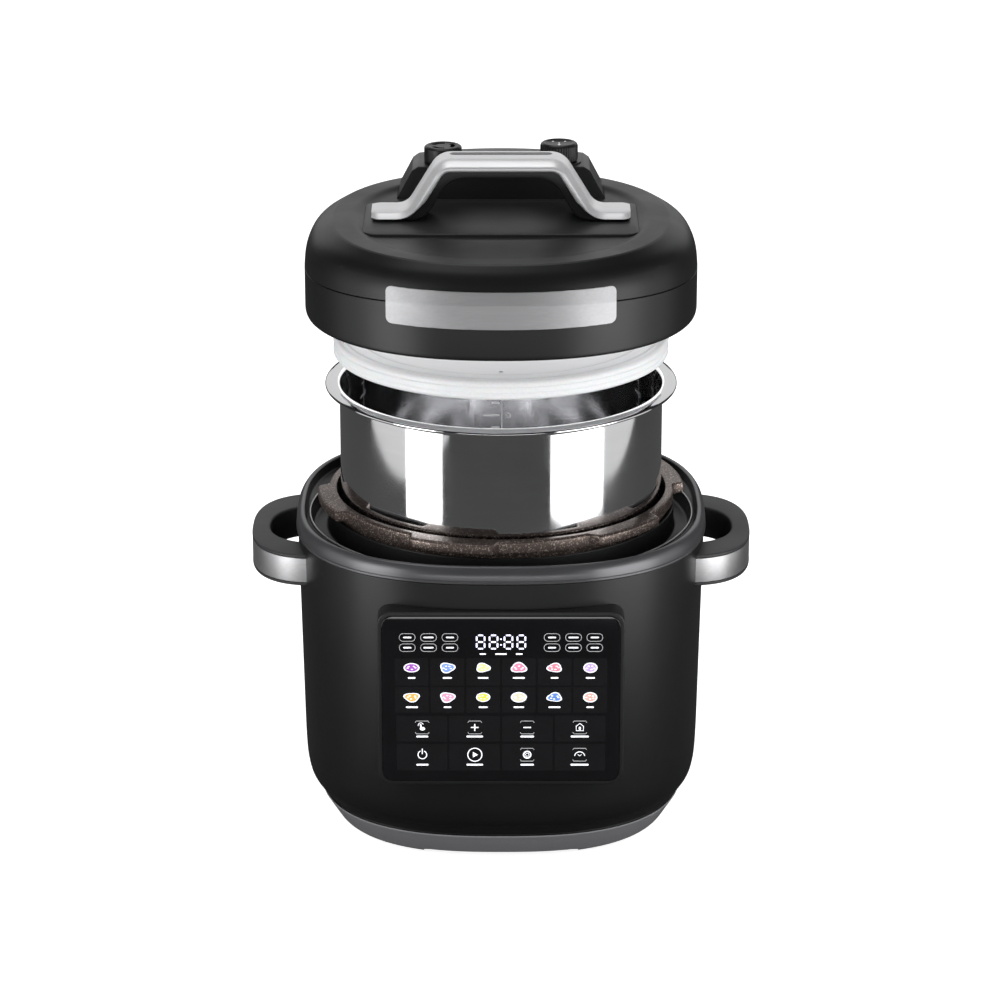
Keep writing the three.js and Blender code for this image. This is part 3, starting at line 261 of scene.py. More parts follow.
@functools.cache
def handling_group() -> bpy.types.NodeTree:
    """Return the group for soft marks of handling and cleaning, which change how a surface shines.

    Returns:
        The group's node tree.
    """
    graph, given, made = new_group("Handling marks", {"Vector": None, "Scale": 14.0, "Amount": 0.1}, ["Change"])
    broad = graph.node("ShaderNodeTexNoise", {"Vector": given.outputs["Vector"], "Scale": given.outputs["Scale"],
                                              "Detail": 4.0, "Roughness": 0.6, "Distortion": 0.4})
    centred = graph.spread(broad.outputs["Fac"], (0.3, 0.7), (-1.0, 1.0))
    graph.feed(made, "Change", graph.math("MULTIPLY", centred, given.outputs["Amount"]))
    return graph.tree


@functools.cache
def edge_group() -> bpy.types.NodeTree:
    """Return the group that finds worn outer edges, broken up by noise.

    Returns:
        The group's node tree.
    """
    graph, given, made = new_group("Edge wear", {"Vector": None, "Start": 0.53, "Amount": 1.0}, ["Mask"])
    shape = graph.node("ShaderNodeNewGeometry")
    reach = graph.math("ADD", given.outputs["Start"], 0.09)
    raised = graph.node("ShaderNodeMapRange", {"Value": shape.outputs["Pointiness"],
                                               "From Min": given.outputs["Start"], "From Max": reach})
    noise = graph.node("ShaderNodeTexNoise", {"Vector": given.outputs["Vector"], "Scale": 120.0, "Detail": 3.0})
    broken = graph.spread(noise.outputs["Fac"], (0.35, 0.6), (0.2, 1.0))
    worn = graph.math("MULTIPLY", raised.outputs["Result"], broken)
    graph.feed(made, "Mask", graph.math("MULTIPLY", worn, given.outputs["Amount"]))
    return graph.tree


@functools.cache
def speckle_group() -> bpy.types.NodeTree:
    """Return the group for bright flecks in a dark coating.

    Returns:
        The group's node tree.
    """
    graph, given, made = new_group("Coating flecks", {"Vector": None, "Scale": 1500.0, "Share": 0.3},
                                   ["Mask", "Height"])
    cells = graph.node("ShaderNodeTexVoronoi", {"Vector": given.outputs["Vector"], "Scale": given.outputs["Scale"]})
    parted = graph.node("ShaderNodeSeparateColor", {"Color": cells.outputs["Color"]})
    least = graph.math("SUBTRACT", 1.0, given.outputs["Share"])
    graph.feed(made, "Mask", graph.math("GREATER_THAN", parted.outputs[0], least))
    graph.feed(made, "Height", cells.outputs["Distance"])
    return graph.tree


@dataclass(frozen=True)
class Finish:
    """A finish that most pieces share: a base colour with grain, handling marks and worn edges."""

    name: str
    colour: Colour
    roughness: float
    metallic: float = 0.0
    grain: float = 900.0
    depth: float = 0.25
    variation: float = 0.12
    edge: float = 0.0
    edge_colour: Colour = (0.2, 0.2, 0.2)
    coat: float = 0.0
    marks: float = 0.05

    def material(self) -> bpy.types.Material:
        """Build the finish once, and return its material.

        Returns:
            The material with this finish's name.
        """
        found = bpy.data.materials.get(self.name)
        if found:
            return found
        made = bpy.data.materials.new(self.name)
        made.use_nodes = True
        graph = Graph(made.node_tree)
        shader = made.node_tree.nodes["Principled BSDF"]
        graph.feed(shader, "Metallic", self.metallic)
        graph.feed(shader, "Coat Weight", self.coat)
        graph.feed(shader, "Coat Roughness", 0.05)
        place = graph.node("ShaderNodeTexCoord").outputs["Object"]
        self.dress(graph, shader, place)
        return made

    def dress(self, graph: Graph, shader: bpy.types.Node, place: bpy.types.NodeSocket) -> None:
        """Join the shared effects to the shader.

        Args:
            graph: The material's graph.
            shader: Its Principled BSDF.
            place: Object coordinates.
        """
        grain = self.group(graph, grain_group(), place, Scale=self.grain, Depth=self.depth)
        shade = tuple(c * (1 - self.variation) for c in self.colour)
        colour = graph.mix(grain.outputs["Mask"], opaque(shade), opaque(self.colour))
        if self.edge:
            worn = self.group(graph, edge_group(), place, Amount=self.edge)
            colour = graph.mix(worn.outputs["Mask"], colour, opaque(self.edge_colour))
        self.finish_off(graph, shader, place, colour, grain.outputs["Height"])

    def group(self, graph: Graph, tree: bpy.types.NodeTree, place: bpy.types.NodeSocket,
              **values: float) -> bpy.types.Node:
        """Place a node group with its values, and return its node."""
        return graph.node("ShaderNodeGroup", {"Vector": place, **values}, node_tree=tree)

    def finish_off(self, graph: Graph, shader: bpy.types.Node, place: bpy.types.NodeSocket,
                   colour: bpy.types.NodeSocket, height: bpy.types.NodeSocket) -> None:
        """Feed the colour, the roughness with handling marks, and the bump into the shader.

        Args:
            graph: The material's graph.
            shader: Its Principled BSDF.
            place: Object coordinates.
            colour: The base colour.
            height: The height for the bump.
        """
        marks = self.group(graph, handling_group(), place, Amount=self.marks)
        rough = graph.node("ShaderNodeMath", {0: marks.outputs["Change"], 1: self.roughness}, operation="ADD",
                           use_clamp=True)
        bump = graph.node("ShaderNodeBump", {"Height": height, "Strength": 0.35, "Distance": 0.00008})
        graph.feed(shader, "Base Color", colour)
        graph.feed(shader, "Roughness", rough.outputs[0])
        graph.feed(shader, "Normal", bump.outputs["Normal"])


@dataclass(frozen=True)
class Brushed(Finish):
    """A metal with brush marks along one axis, or turned round the axis of the pot."""

    stretch: Point3 = (12.0, 900.0, 900.0)
    turned: bool = False
    contrast: float = 0.16

    def dress(self, graph: Graph, shader: bpy.types.Node, place: bpy.types.NodeSocket) -> None:
        """Join brush marks to the shader.

        Args:
            graph: The material's graph.
            shader: Its Principled BSDF.
            place: Object coordinates.
        """
        vector = place
        if self.turned:
            parts = graph.node("ShaderNodeSeparateXYZ", {"Vector": place})
            square = [graph.math("POWER", parts.outputs[i], 2.0) for i in (0, 1)]
            radius = graph.math("SQRT", graph.math("ADD", *square))
            around = graph.math("ARCTAN2", parts.outputs[1], parts.outputs[0])
            vector = graph.node("ShaderNodeCombineXYZ", {0: around, 1: radius, 2: parts.outputs[2]}).outputs[0]
        scaled = graph.node("ShaderNodeVectorMath", {0: vector, 1: self.stretch}, operation="MULTIPLY").outputs[0]
        marks = self.group(graph, brushing_group(), scaled, Fineness=1.0, Depth=self.depth)
        dark = tuple(c * (1 - self.contrast) for c in self.colour)
        colour = graph.mix(marks.outputs["Shade"], opaque(dark), opaque(self.colour))
        self.finish_off(graph, shader, place, colour, marks.outputs["Height"])


@dataclass(frozen=True)
class Cast(Finish):
    """A casting under a speckled metallic coating."""

    fleck_colour: Colour = (0.75, 0.66, 0.6)
    share: float = 0.22

    def dress(self, graph: Graph, shader: bpy.types.Node, place: bpy.types.NodeSocket) -> None:
        """Join the flecks and the cast texture to the shader.

        Args:
            graph: The material's graph.
            shader: Its Principled BSDF.
            place: Object coordinates.
        """
        grain = self.group(graph, grain_group(), place, Scale=self.grain, Depth=self.depth)
        flecks = self.group(graph, speckle_group(), place, Share=self.share)
        shade = tuple(c * (1 - self.variation) for c in self.colour)
        ground = graph.mix(grain.outputs["Mask"], opaque(shade), opaque(self.colour))
        colour = graph.mix(flecks.outputs["Mask"], ground, opaque(self.fleck_colour))
        height = graph.math("ADD", grain.outputs["Height"], graph.math("MULTIPLY", flecks.outputs["Height"], 0.5))
        self.finish_off(graph, shader, place, colour, height)


@dataclass(frozen=True)
class Clear(Finish):
    """A see-through moulding, or the frosted silicone of the seal."""

    transmission: float = 0.9
    scatter: float = 0.0

    def dress(self, graph: Graph, shader: bpy.types.Node, place: bpy.types.NodeSocket) -> None:
        """Add transmission and scatter to the shared effects.

        Args:
            graph: The material's graph.
            shader: Its Principled BSDF.
            place: Object coordinates.
        """
        graph.feed(shader, "Transmission Weight", self.transmission)
        graph.feed(shader, "Subsurface Weight", self.scatter)
        graph.feed(shader, "Subsurface Scale", 0.004)
        super().dress(graph, shader, place)


@dataclass(frozen=True)
class Lit(Finish):
    """A lit symbol behind the glass, with slightly uneven light."""

    glow: float = 1.0

    def dress(self, graph: Graph, shader: bpy.types.Node, place: bpy.types.NodeSocket) -> None:
        """Add the glow to the shared effects.

        Args:
            graph: The material's graph.
            shader: Its Principled BSDF.
            place: Object coordinates.
        """
        noise = graph.node("ShaderNodeTexNoise", {"Vector": place, "Scale": 420.0, "Detail": 2.0})
        shade = tuple(c * 0.72 for c in self.colour)
        level = graph.spread(noise.outputs["Fac"], (0.35, 0.65), (0.0, 1.0))
        colour = graph.mix(level, opaque(shade), opaque(self.colour))
        graph.feed(shader, "Emission Color", colour)
        graph.feed(shader, "Emission Strength", self.glow)
        super().dress(graph, shader, place)


class Finishes:
    """Every finish on the cooker."""

    SHELL = Finish("satin black coating", (0.005, 0.005, 0.0055), 0.38, grain=1400, depth=0.2, marks=0.03,
                   edge=0.3, edge_colour=(0.05, 0.05, 0.05))
    RIM = Brushed("gunmetal rim", (0.14, 0.14, 0.147), 0.32, metallic=0.75, depth=0.12, stretch=(3.0, 500.0, 500.0),
                  turned=True, contrast=0.1, marks=0.04)
    LAND = Finish("black land", (0.006, 0.006, 0.0065), 0.42, grain=1200, depth=0.2)
    PLASTIC = Finish("moulded black", (0.010, 0.010, 0.0105), 0.38, grain=1300, depth=0.3, edge=0.4,
                     edge_colour=(0.03, 0.03, 0.03))
    HANDLE = Finish("soft black handle", (0.028, 0.028, 0.030), 0.48, grain=1500, depth=0.4, edge=0.5,
                    edge_colour=(0.05, 0.05, 0.052))
    LID_BAND = Finish("satin lid side", (0.005, 0.005, 0.0055), 0.4, grain=1500, depth=0.2, marks=0.03)
    # The lid top is the same black shell as the lid side but takes a lighter colour: painted sheen on its upward
    # faces.
    LID_TOP_SHEEN = Finish("lid top with painted sheen", (0.017, 0.017, 0.018), 0.42, grain=1500, depth=0.35, marks=0.05)
    SKIRT = Finish("grey skirt", (0.2, 0.2, 0.21), 0.5, grain=1400, depth=0.35)
    SILVER = Brushed("brushed silver", (0.66, 0.66, 0.67), 0.4, metallic=1.0, depth=0.3, contrast=0.14)
    NAMEPLATE = Brushed("brushed front plate", (0.5, 0.5, 0.51), 0.5, metallic=0.9, depth=0.3, contrast=0.12)
    CAP = Brushed("satin silver cap", (0.82, 0.82, 0.83), 0.42, metallic=0.62, depth=0.35, contrast=0.12)
    MIRROR = Brushed("polished steel", (0.78, 0.78, 0.79), 0.075, metallic=1.0, depth=0.03,
                     stretch=(2.0, 260.0, 260.0), turned=True, contrast=0.05, marks=0.03)
    BRONZE = Cast("speckled cast coating", (0.16, 0.125, 0.11), 0.33, metallic=0.8, grain=1500, depth=1.0,
                  variation=0.35, marks=0.08, fleck_colour=(0.42, 0.35, 0.31), share=0.14)
    HEATER = Brushed("turned aluminium", (0.5, 0.5, 0.51), 0.36, metallic=1.0, depth=0.5, stretch=(2.0, 1400.0, 900.0),
                     turned=True)
    PLATE = Brushed("pale spun plate", (0.8, 0.8, 0.81), 0.42, metallic=0.15, depth=0.25, stretch=(2.0, 1100.0, 900.0),
                    turned=True, contrast=0.05)
    SPUN = Brushed("spun aluminium", (0.64, 0.64, 0.65), 0.4, metallic=0.85, depth=0.3, stretch=(2.0, 1100.0, 900.0),
                   turned=True, contrast=0.08)
    ZINC = Finish("zinc plated steel", (0.42, 0.43, 0.45), 0.36, metallic=1.0, grain=240, depth=0.3, variation=0.22,
                  marks=0.1)
    SILICONE = Clear("frosted silicone", (0.84, 0.85, 0.86), 0.42, grain=700, depth=0.4, variation=0.04,
                     transmission=0.0, scatter=0.15)
    RUBBER = Finish("foot rubber", (0.012, 0.012, 0.012), 0.75, grain=700, depth=1.0)
    CABLE = Finish("cable sleeve", (0.02, 0.02, 0.022), 0.5, grain=500, depth=0.5)
    GLASS = Finish("panel glass", (0.0035, 0.0035, 0.0045), 0.07, grain=60, depth=0.0, variation=0.3, marks=0.015,
                   coat=0.6)
    TILE = Finish("panel tiles", (0.009, 0.009, 0.010), 0.12, grain=60, depth=0.0, marks=0.01)
    BOARD = Finish("circuit board", (0.015, 0.09, 0.045), 0.35, grain=180, depth=0.6, variation=0.4)
    CUP = Clear("clear cup", (0.75, 0.78, 0.8), 0.12, grain=500, depth=0.1, transmission=0.85)
    SYMBOL = Lit("lit symbol", (0.86, 0.87, 0.92), 0.4, glow=0.95)
    OUTLINE = Lit("dim symbol", (0.42, 0.42, 0.43), 0.4, glow=0.55)
    DIGIT = Lit("lit digit", (0.8, 0.8, 1.0), 0.3, glow=1.15)

    @staticmethod
    def food(name: str, colour: Colour) -> Lit:
        """Return the finish of one colour of the food pictures."""
        return Lit(f"food {name}", colour, 0.4, glow=0.75)


# ------------------------------------------------------------------ mesh building


@dataclass(frozen=True)
class Extent:
    """The lowest and highest corners of a node at rest, in millimetres."""

    low: Vector
    high: Vector

    @classmethod
    def of(cls, node: str) -> "Extent":
        """Measure a node of the frame."""
        low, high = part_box(node)
        return cls(low / MM, high / MM)

    @property
    def middle(self) -> Vector:
        """The middle of the box."""
        return (self.low + self.high) / 2


@dataclass(frozen=True)
class Outline:
    """A rounded square in plan. Squareness 2 is an ellipse."""

    half_width: float
    half_depth: float
    squareness: float = 2.6

    def radius(self, angle: float, inset: float = 0.0) -> float:
        """Return the distance from the axis at an angle, to the outline moved in by an inset.

        Args:
            angle: The angle round the axis, in radians.
            inset: How far the outline is moved in.

        Returns:
            The distance from the axis.
        """
        across = abs(math.cos(angle) / (self.half_width - inset)) ** self.squareness
        along = abs(math.sin(angle) / (self.half_depth - inset)) ** self.squareness
        return (across + along) ** (-1 / self.squareness)

    def toward(self, other: "Outline", share: float, angle: float) -> float:
        """Return the distance from the axis to an outline part of the way to another one.

        Args:
            other: The outline at share 1.
            share: How far between the two.
            angle: The angle round the axis, in radians.

        Returns:
            The distance from the axis.
        """
        width = self.half_width + (other.half_width - self.half_width) * share
        depth = self.half_depth + (other.half_depth - self.half_depth) * share
        return Outline(width, depth, self.squareness).radius(angle)


def rounded(corners: Sequence[Corner], closed: bool, steps: int = 5) -> list[Point2]:
    """Round the corners of a line in a plane.

    Args:
        corners: Each corner's two coordinates and how far from it the rounding starts.
        closed: Whether the last corner joins the first.
        steps: Points in each rounding.

    Returns:
        The points of the line.
    """
    line: list[Point2] = []
    count = len(corners)
    for i, (u, v, reach) in enumerate(corners):
        if not reach or (not closed and i in (0, count - 1)):
            line.append((u, v))
            continue
        here = Vector((u, v))
        before = Vector(corners[i - 1][:2]) - here
        after = Vector(corners[(i + 1) % count][:2]) - here
        start = here + before.normalized() * min(reach, before.length * 0.48)
        end = here + after.normalized() * min(reach, after.length * 0.48)
        for k in range(steps + 1):
            t = k / steps
            point = start * (1 - t) ** 2 + here * 2 * t * (1 - t) + end * t ** 2
            line.append((point.x, point.y))
    return line


def make_object(name: str, points: Iterable[Point3], faces: Iterable[Sequence[int]],
                sharp: float = SHARP) -> bpy.types.Object:
    """Make a mesh object from points in millimetres.

    Args:
        name: The object's name.
        points: The vertices.
        faces: Their faces.
        sharp: Edges that turn by more than this angle, in degrees, are shaded sharp.

    Returns:
        The new object, with merged vertices and its faces pointing out.
    """
    mesh = bpy.data.meshes.new(name)
    mesh.from_pydata([tuple(c * MM for c in point) for point in points], [], [tuple(face) for face in faces])
    cleaner = bmesh.new()
    cleaner.from_mesh(mesh)
    bmesh.ops.remove_doubles(cleaner, verts=cleaner.verts, dist=WELD)
    bmesh.ops.dissolve_degenerate(cleaner, edges=cleaner.edges, dist=WELD)
    bmesh.ops.recalc_face_normals(cleaner, faces=cleaner.faces)
    cleaner.to_mesh(mesh)
    cleaner.free()
    mesh.shade_smooth()
    mesh.set_sharp_from_angle(angle=math.radians(sharp))
    made = bpy.data.objects.new(name, mesh)
    bpy.context.scene.collection.objects.link(made)
    return made


def skin(name: str, loops: Sequence[Sequence[Point3]], joined: bool = False, sharp: float = SHARP) -> bpy.types.Object:
    """Join loops of points into a closed surface.

    Args:
        name: The object's name.
        loops: Closed loops with as many points each.
        joined: Whether the last loop joins the first. Otherwise both ends are capped.
        sharp: The sharp angle, in degrees.

    Returns:
        The new object.
    """
    size = len(loops[0])
    points = [point for loop in loops for point in loop]
    faces: list[Sequence[int]] = []
    for k in range(len(loops) if joined else len(loops) - 1):
        low, high = k * size, (k + 1) % len(loops) * size
        faces += [(low + i, low + (i + 1) % size, high + (i + 1) % size, high + i) for i in range(size)]
    if not joined:
        faces += [range(size), range((len(loops) - 1) * size, len(loops) * size)]
    return make_object(name, points, faces, sharp)


def around(name: str, corners_at: Callable[[float], Sequence[Corner]], steps: int = 192, closed: bool = True,
           fillet_steps: int = 5, sharp: float = SHARP) -> bpy.types.Object:
    """Carry a section round the axis.

    Args:
        name: The object's name.
        corners_at: Gives the section's corners at an angle: distance from the axis, height, rounding.
        steps: Sections round the axis.
        closed: Whether the section is a loop. Otherwise it starts and ends on the axis.
        fillet_steps: Points in each rounding.
        sharp: The sharp angle, in degrees.

    Returns:
        The new object.
    """
    loops = []
    for i in range(steps):
        angle = 2 * math.pi * i / steps
        line = rounded(corners_at(angle), closed, fillet_steps)
        loops.append([(r * math.cos(angle), r * math.sin(angle), z) for r, z in line])
    return skin(name, loops, joined=True, sharp=sharp)


def turned(name: str, corners: Sequence[Corner], closed: bool = True, steps: int = 128,
           at: Point2 = (0.0, 0.0)) -> bpy.types.Object:
    """Turn a section about an upright axis at a place in plan, and return the object.

    Args:
        name: The object's name.
        corners: The section's corners: distance from the axis, height, rounding.
        closed: Whether the section is a loop.
        steps: Sections round the axis.
        at: The axis's place in plan.

    Returns:
        The new object.
    """
    made = around(name, lambda _: corners, steps, closed)
    for vertex in made.data.vertices:
        vertex.co += Vector((at[0], at[1], 0)) * MM
    return made


def rounded_rectangle(width: float, height: float, radius: float, centre: Point2 = (0.0, 0.0),
                      steps: int = 8) -> list[Point2]:
    """Return the outline of a rectangle with round corners.

    Args:
        width: The width.
        height: The height.
        radius: The corners' radius.
        centre: The middle.
        steps: Steps in each corner.

    Returns:
        The outline's points.
    """
    line = []
    for k, (sx, sy) in enumerate(((1, 1), (-1, 1), (-1, -1), (1, -1))):
        for i in range(steps + 1):
            angle = math.pi / 2 * (k + i / steps)
            line.append((centre[0] + sx * (width / 2 - radius) + radius * math.cos(angle),
                         centre[1] + sy * (height / 2 - radius) + radius * math.sin(angle)))
    return line


def prism(name: str, outline: Sequence[Point2], low: float, high: float,
          plane: Plane = Plane.PLAN) -> bpy.types.Object:
    """Give a flat outline a thickness, and return the object.

    Args:
        name: The object's name.
        outline: The flat outline.
        low: The level of its first face.
        high: The level of its second face.
        plane: The plane that the outline is drawn in.

    Returns:
        The new object.
    """
    if plane is Plane.PLAN:
        return skin(name, [[(u, v, level) for u, v in outline] for level in (low, high)])
    return skin(name, [[(u, level, v) for u, v in outline] for level in (low, high)])


def bake_modifiers(piece: bpy.types.Object) -> None:
    """Make a piece's modifiers part of its mesh.

    Args:
        piece: The piece that keeps the result.
    """
    graph = bpy.context.evaluated_depsgraph_get()
    graph.update()
    mesh = bpy.data.meshes.new_from_object(piece.evaluated_get(graph))
    piece.modifiers.clear()
    piece.data = mesh


def soften(piece: bpy.types.Object, width: float, segments: int = 3, above: float = 30.0) -> bpy.types.Object:
    """Round off a piece's edges that turn by more than an angle, and return the piece.

    Args:
        piece: The piece to round off.
        width: The rounding's width, in millimetres.
        segments: Steps across the rounding.
        above: The least turn, in degrees.

    Returns:
        The piece.
    """
    bevel = piece.modifiers.new("edges", "BEVEL")
    bevel.width = width * MM
    bevel.segments = segments
    bevel.limit_method = "ANGLE"
    bevel.angle_limit = math.radians(above)
    bake_modifiers(piece)
    piece.data.shade_smooth()
    piece.data.set_sharp_from_angle(angle=math.radians(40))
    return piece


def cut(piece: bpy.types.Object, *tools: bpy.types.Object) -> bpy.types.Object:
    """Take the tools' shapes away from a piece, delete the tools, and return the piece.

    Args:
        piece: The piece to cut.
        tools: The shapes to take away.

    Returns:
        The piece.
    """
    for tool in tools:
        change = piece.modifiers.new("cut", "BOOLEAN")
        change.operation = "DIFFERENCE"
        change.solver = "EXACT"
        change.object = tool
        bake_modifiers(piece)
        bpy.data.objects.remove(tool)
    piece.data.set_sharp_from_angle(angle=math.radians(SHARP))
    return piece


def place(piece: bpy.types.Object, body: Body, finish: Finish, slot: str, *nodes: str) -> bpy.types.Object:
    """Give a piece its finish and body, and hide the nodes that it stands for.

    Args:
        piece: The finished mesh object.
        body: The body that it rides on.
        finish: Its finish.
        slot: The record's material slot; not used.
        nodes: The CAD nodes that it replaces.

    Returns:
        The piece.
    """
    if not piece.data.materials:
        piece.data.materials.append(finish.material())
    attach(piece, body.value)
    if nodes:
        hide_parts(*nodes)
    LOG.info("%s: %d faces, on %s", piece.name, len(piece.data.polygons), body.value)
    return piece


def softened_copy(frame: dict, node: str, width: float) -> bpy.types.Object:
    """Copy a node's solid, join its coplanar facets and round its edges.

    Args:
        frame: The loaded frame.
        node: The node's name.
        width: The rounding, in millimetres.

    Returns:
        The new object.
    """
    mesh = frame["nodes"][node].data.copy()
    mesh.materials.clear()
    cleaner = bmesh.new()
    cleaner.from_mesh(mesh)
    bmesh.ops.remove_doubles(cleaner, verts=cleaner.verts, dist=2 * WELD)
    bmesh.ops.dissolve_limit(cleaner, angle_limit=math.radians(1), verts=cleaner.verts, edges=cleaner.edges)
    cleaner.to_mesh(mesh)
    cleaner.free()
    made = bpy.data.objects.new(f"{node}_fine", mesh)
    bpy.context.scene.collection.objects.link(made)
    return soften(made, width, segments=2, above=40)


class Stencil:
    """Thin raised marks on a surface, drawn in two coordinates."""

    def __init__(self, onto: Callable[[float, float, float], Point3], thickness: float) -> None:
        """Start an empty stencil.

        Args:
            onto: Takes the two coordinates and a height off the surface, and gives the point.
            thickness: How far the marks stand off the surface.
        """
        self.onto = onto
        self.thickness = thickness
        self.points: list[Point3] = []
        self.faces: list[Sequence[int]] = []

    def shape(self, outline: Sequence[Point2]) -> None:
        """Add a filled outline that bulges everywhere.

        Args:
            outline: The outline's points in the two coordinates.
        """
        start, count = len(self.points), len(outline)
        for height in (0.0, self.thickness):
            self.points += [self.onto(u, v, height) for u, v in outline]
        self.faces += [range(start, start + count), range(start + count, start + 2 * count)]
        for i in range(count):
            j = (i + 1) % count
            self.faces.append((start + i, start + j, start + count + j, start + count + i))

    def oval(self, u: float, v: float, half_width: float, half_height: float, steps: int = 20) -> None:
        """Add a filled oval."""
        turns = [2 * math.pi * i / steps for i in range(steps)]
        self.shape([(u + half_width * math.cos(a), v + half_height * math.sin(a)) for a in turns])

    def bar(self, u: float, v: float, width: float, height: float) -> None:
        """Add a filled bar with round ends."""
        self.shape(rounded_rectangle(width, height, min(width, height) * 0.45, (u, v), steps=3))

    def stroke(self, line: Sequence[Point2], width: float, closed: bool = False) -> None:
        """Add a line of even width along points.

        Args:
            line: The points to follow.
            width: The line's width.
            closed: Whether the last point joins the first.
        """
        count = len(line)
        left, right = [], []
        for i, here in enumerate(line):
            before = Vector(line[i - 1] if closed or i else here)
            after = Vector(line[(i + 1) % count] if closed or i < count - 1 else here)
            along = (after - before).normalized()
            aside = Vector((-along.y, along.x)) * width / 2
            left.append(Vector(here) + aside)
            right.append(Vector(here) - aside)
        for i in range(count if closed else count - 1):
            j = (i + 1) % count
            self.shape([tuple(left[i]), tuple(left[j]), tuple(right[j]), tuple(right[i])])

    def arc(self, u: float, v: float, radius: float, start: float, end: float, width: float, steps: int = 20) -> None:
        """Add part of a circle between two angles in degrees."""
        turns = [math.radians(start + (end - start) * i / steps) for i in range(steps + 1)]
        self.stroke([(u + radius * math.cos(a), v + radius * math.sin(a)) for a in turns], width)

    def object(self, name: str) -> bpy.types.Object:
        """Return the marks as one object."""
        return make_object(name, self.points, self.faces)


# ------------------------------------------------------------------ sub-assemblies


@dataclass
class Housing:
    """The coated steel shell, the gunmetal rim, the base tray and its feet."""

    squareness: float = 2.6
    taper: float = 3.0
    hem: float = 5.6
    wall: float = 1.6
    skirt_height: float = 21.0
    well_wall: float = 119.0
    gutter_radius: float = 129.4
    notch_half_width: float = 52.0
    notch_height: float = 3.2
    shell: Extent = field(init=False)
    rim: Extent = field(init=False)
    tray: Extent = field(init=False)
    outline: Outline = field(init=False)

    def __post_init__(self) -> None:
        """Measure the shell, the rim and the tray."""
        self.shell, self.rim, self.tray = (Extent.of(node) for node in ("body_shell", "top_rim", "base_tray"))
        self.outline = Outline(self.shell.high.x, self.shell.high.y, self.squareness)

    def build(self) -> None:
        """Build every piece of the housing."""
        self.build_shell()
        self.build_rim()
        self.build_tray()
        self.build_feet()

    def outer_side(self, grow: float = 0.0) -> list[Corner]:
        """Return the shell's outer corners from its hem to its top, as inset, height and rounding.

        Args:
            grow: How far the surface is moved out.

        Returns:
            The corners.
        """
        low, high = self.shell.low.z, self.shell.high.z
        return [(self.taper + self.hem - grow, low, 0.8), (self.taper + 2.6 - grow, low + 4.5, 2.5),
                (self.taper + 0.8 - grow, low + 13, 6), (self.taper - grow, low + 30, 10), (-grow, high, 0.6)]

    def envelope(self, grow: float) -> bpy.types.Object:
        """Return a solid of everything inside the shell's outer surface, grown by a clearance.

        Args:
            grow: The clearance.

        Returns:
            The solid, to cut with.
        """
        sides = self.outer_side(grow)
        floor = (sides[0][0], self.tray.low.z, 0.0)
        top = (sides[-1][0], self.rim.high.z, 0.0)
        return around("shell space", lambda angle: [
            (0.0, floor[1], 0.0), *[(self.outline.radius(angle, inset), z, reach) for inset, z, reach in
                                    (floor, *sides, top)], (0.0, top[1], 0.0)], closed=False)

    def build_shell(self) -> None:
        """Build the body shell as a thin skin, open behind the inlet."""
        outer = self.outer_side()
        inner = [(inset + self.wall, z, reach) for inset, z, reach in reversed(outer)]
        piece = around("body_shell_fine", lambda angle: [
            (self.outline.radius(angle, inset), z, reach) for inset, z, reach in (*outer, *inner)], steps=288)
        hole = rounded_rectangle(29, 21, 3, (0, Extent.of("power_inlet").middle.z))
        window = prism("inlet window", hole, 60, self.shell.high.y + 5, Plane.FRONT)
        place(cut(piece, window), Body.BASE, Finishes.SHELL, "shell_black", "body_shell")

    def build_rim(self) -> None:
        """Build the rim: an outer band, a flat crest, a drop to the land, and the round gutter in the land."""
        top, low = self.rim.high.z, self.shell.high.z
        outline = Outline(self.rim.high.x, self.rim.high.y, self.squareness)
        gutter, lip, floor, wall = self.gutter_radius, top - 7.8, top - 18, self.well_wall

        def corners(angle: float) -> list[Corner]:
            """Return the rim's section at an angle.

            Args:
                angle: The angle round the axis, in radians.

            Returns:
                The corners.
            """
            at = functools.partial(outline.radius, angle)
            return [
                (at(3.3), low - 7, 0), (at(3.3), low + 0.3, 0), (at(0.5), low + 0.3, 0.4), (at(0), low + 1.1, 0.5),
                (at(0.5), low + 1.9, 0.3), (at(0.3), low + 2.6, 0.6), (at(0.6), top - 4.5, 3),
                (at(3.4), top - 0.3, 2.2), (at(5.4), top, 1.2), (at(6.5), top - 1.0, 0.9), (at(6.9), top - 7.5, 1.2),
                (gutter + 3.1, top - 9.2, 1.0), (gutter + 2.7, lip, 0.3), (gutter + 1.7, lip, 0.4),
                (gutter, floor, 2), (wall, floor, 2), (wall, top - 2, 0.7), (wall - 2, top - 2, 0.7),
                (wall - 2, floor - 2.5, 0.5), (gutter + 1.6, floor - 2.5, 1), (gutter + 4, lip - 4, 1),
            ]

        piece = around("top_rim_fine", corners, steps=288, fillet_steps=4)
        self.dress_rim(piece, outline, lip)
        place(piece, Body.BASE, Finishes.RIM, "rim_gunmetal", "top_rim")

    def dress_rim(self, piece: bpy.types.Object, outline: Outline, lip: float) -> None:
        """Give the band its gunmetal, the land and gutter their black, and the gutter's lip its bright edge.

        Args:
            piece: The rim.
            outline: Its outer edge in plan.
            lip: The height of the gutter's lip.
        """
        for finish in (Finishes.RIM, Finishes.LAND, Finishes.SPUN):
            piece.data.materials.append(finish.material())
        for face in piece.data.polygons:
            x, y, z = face.center / MM
            reach = math.hypot(x, y)
            edge = outline.radius(math.atan2(y, x), 6.4)
            on_lip = self.gutter_radius + 1.2 < reach < self.gutter_radius + 3.4 and z > lip - 0.8
            face.material_index = 2 if on_lip else (1 if reach < edge else 0)

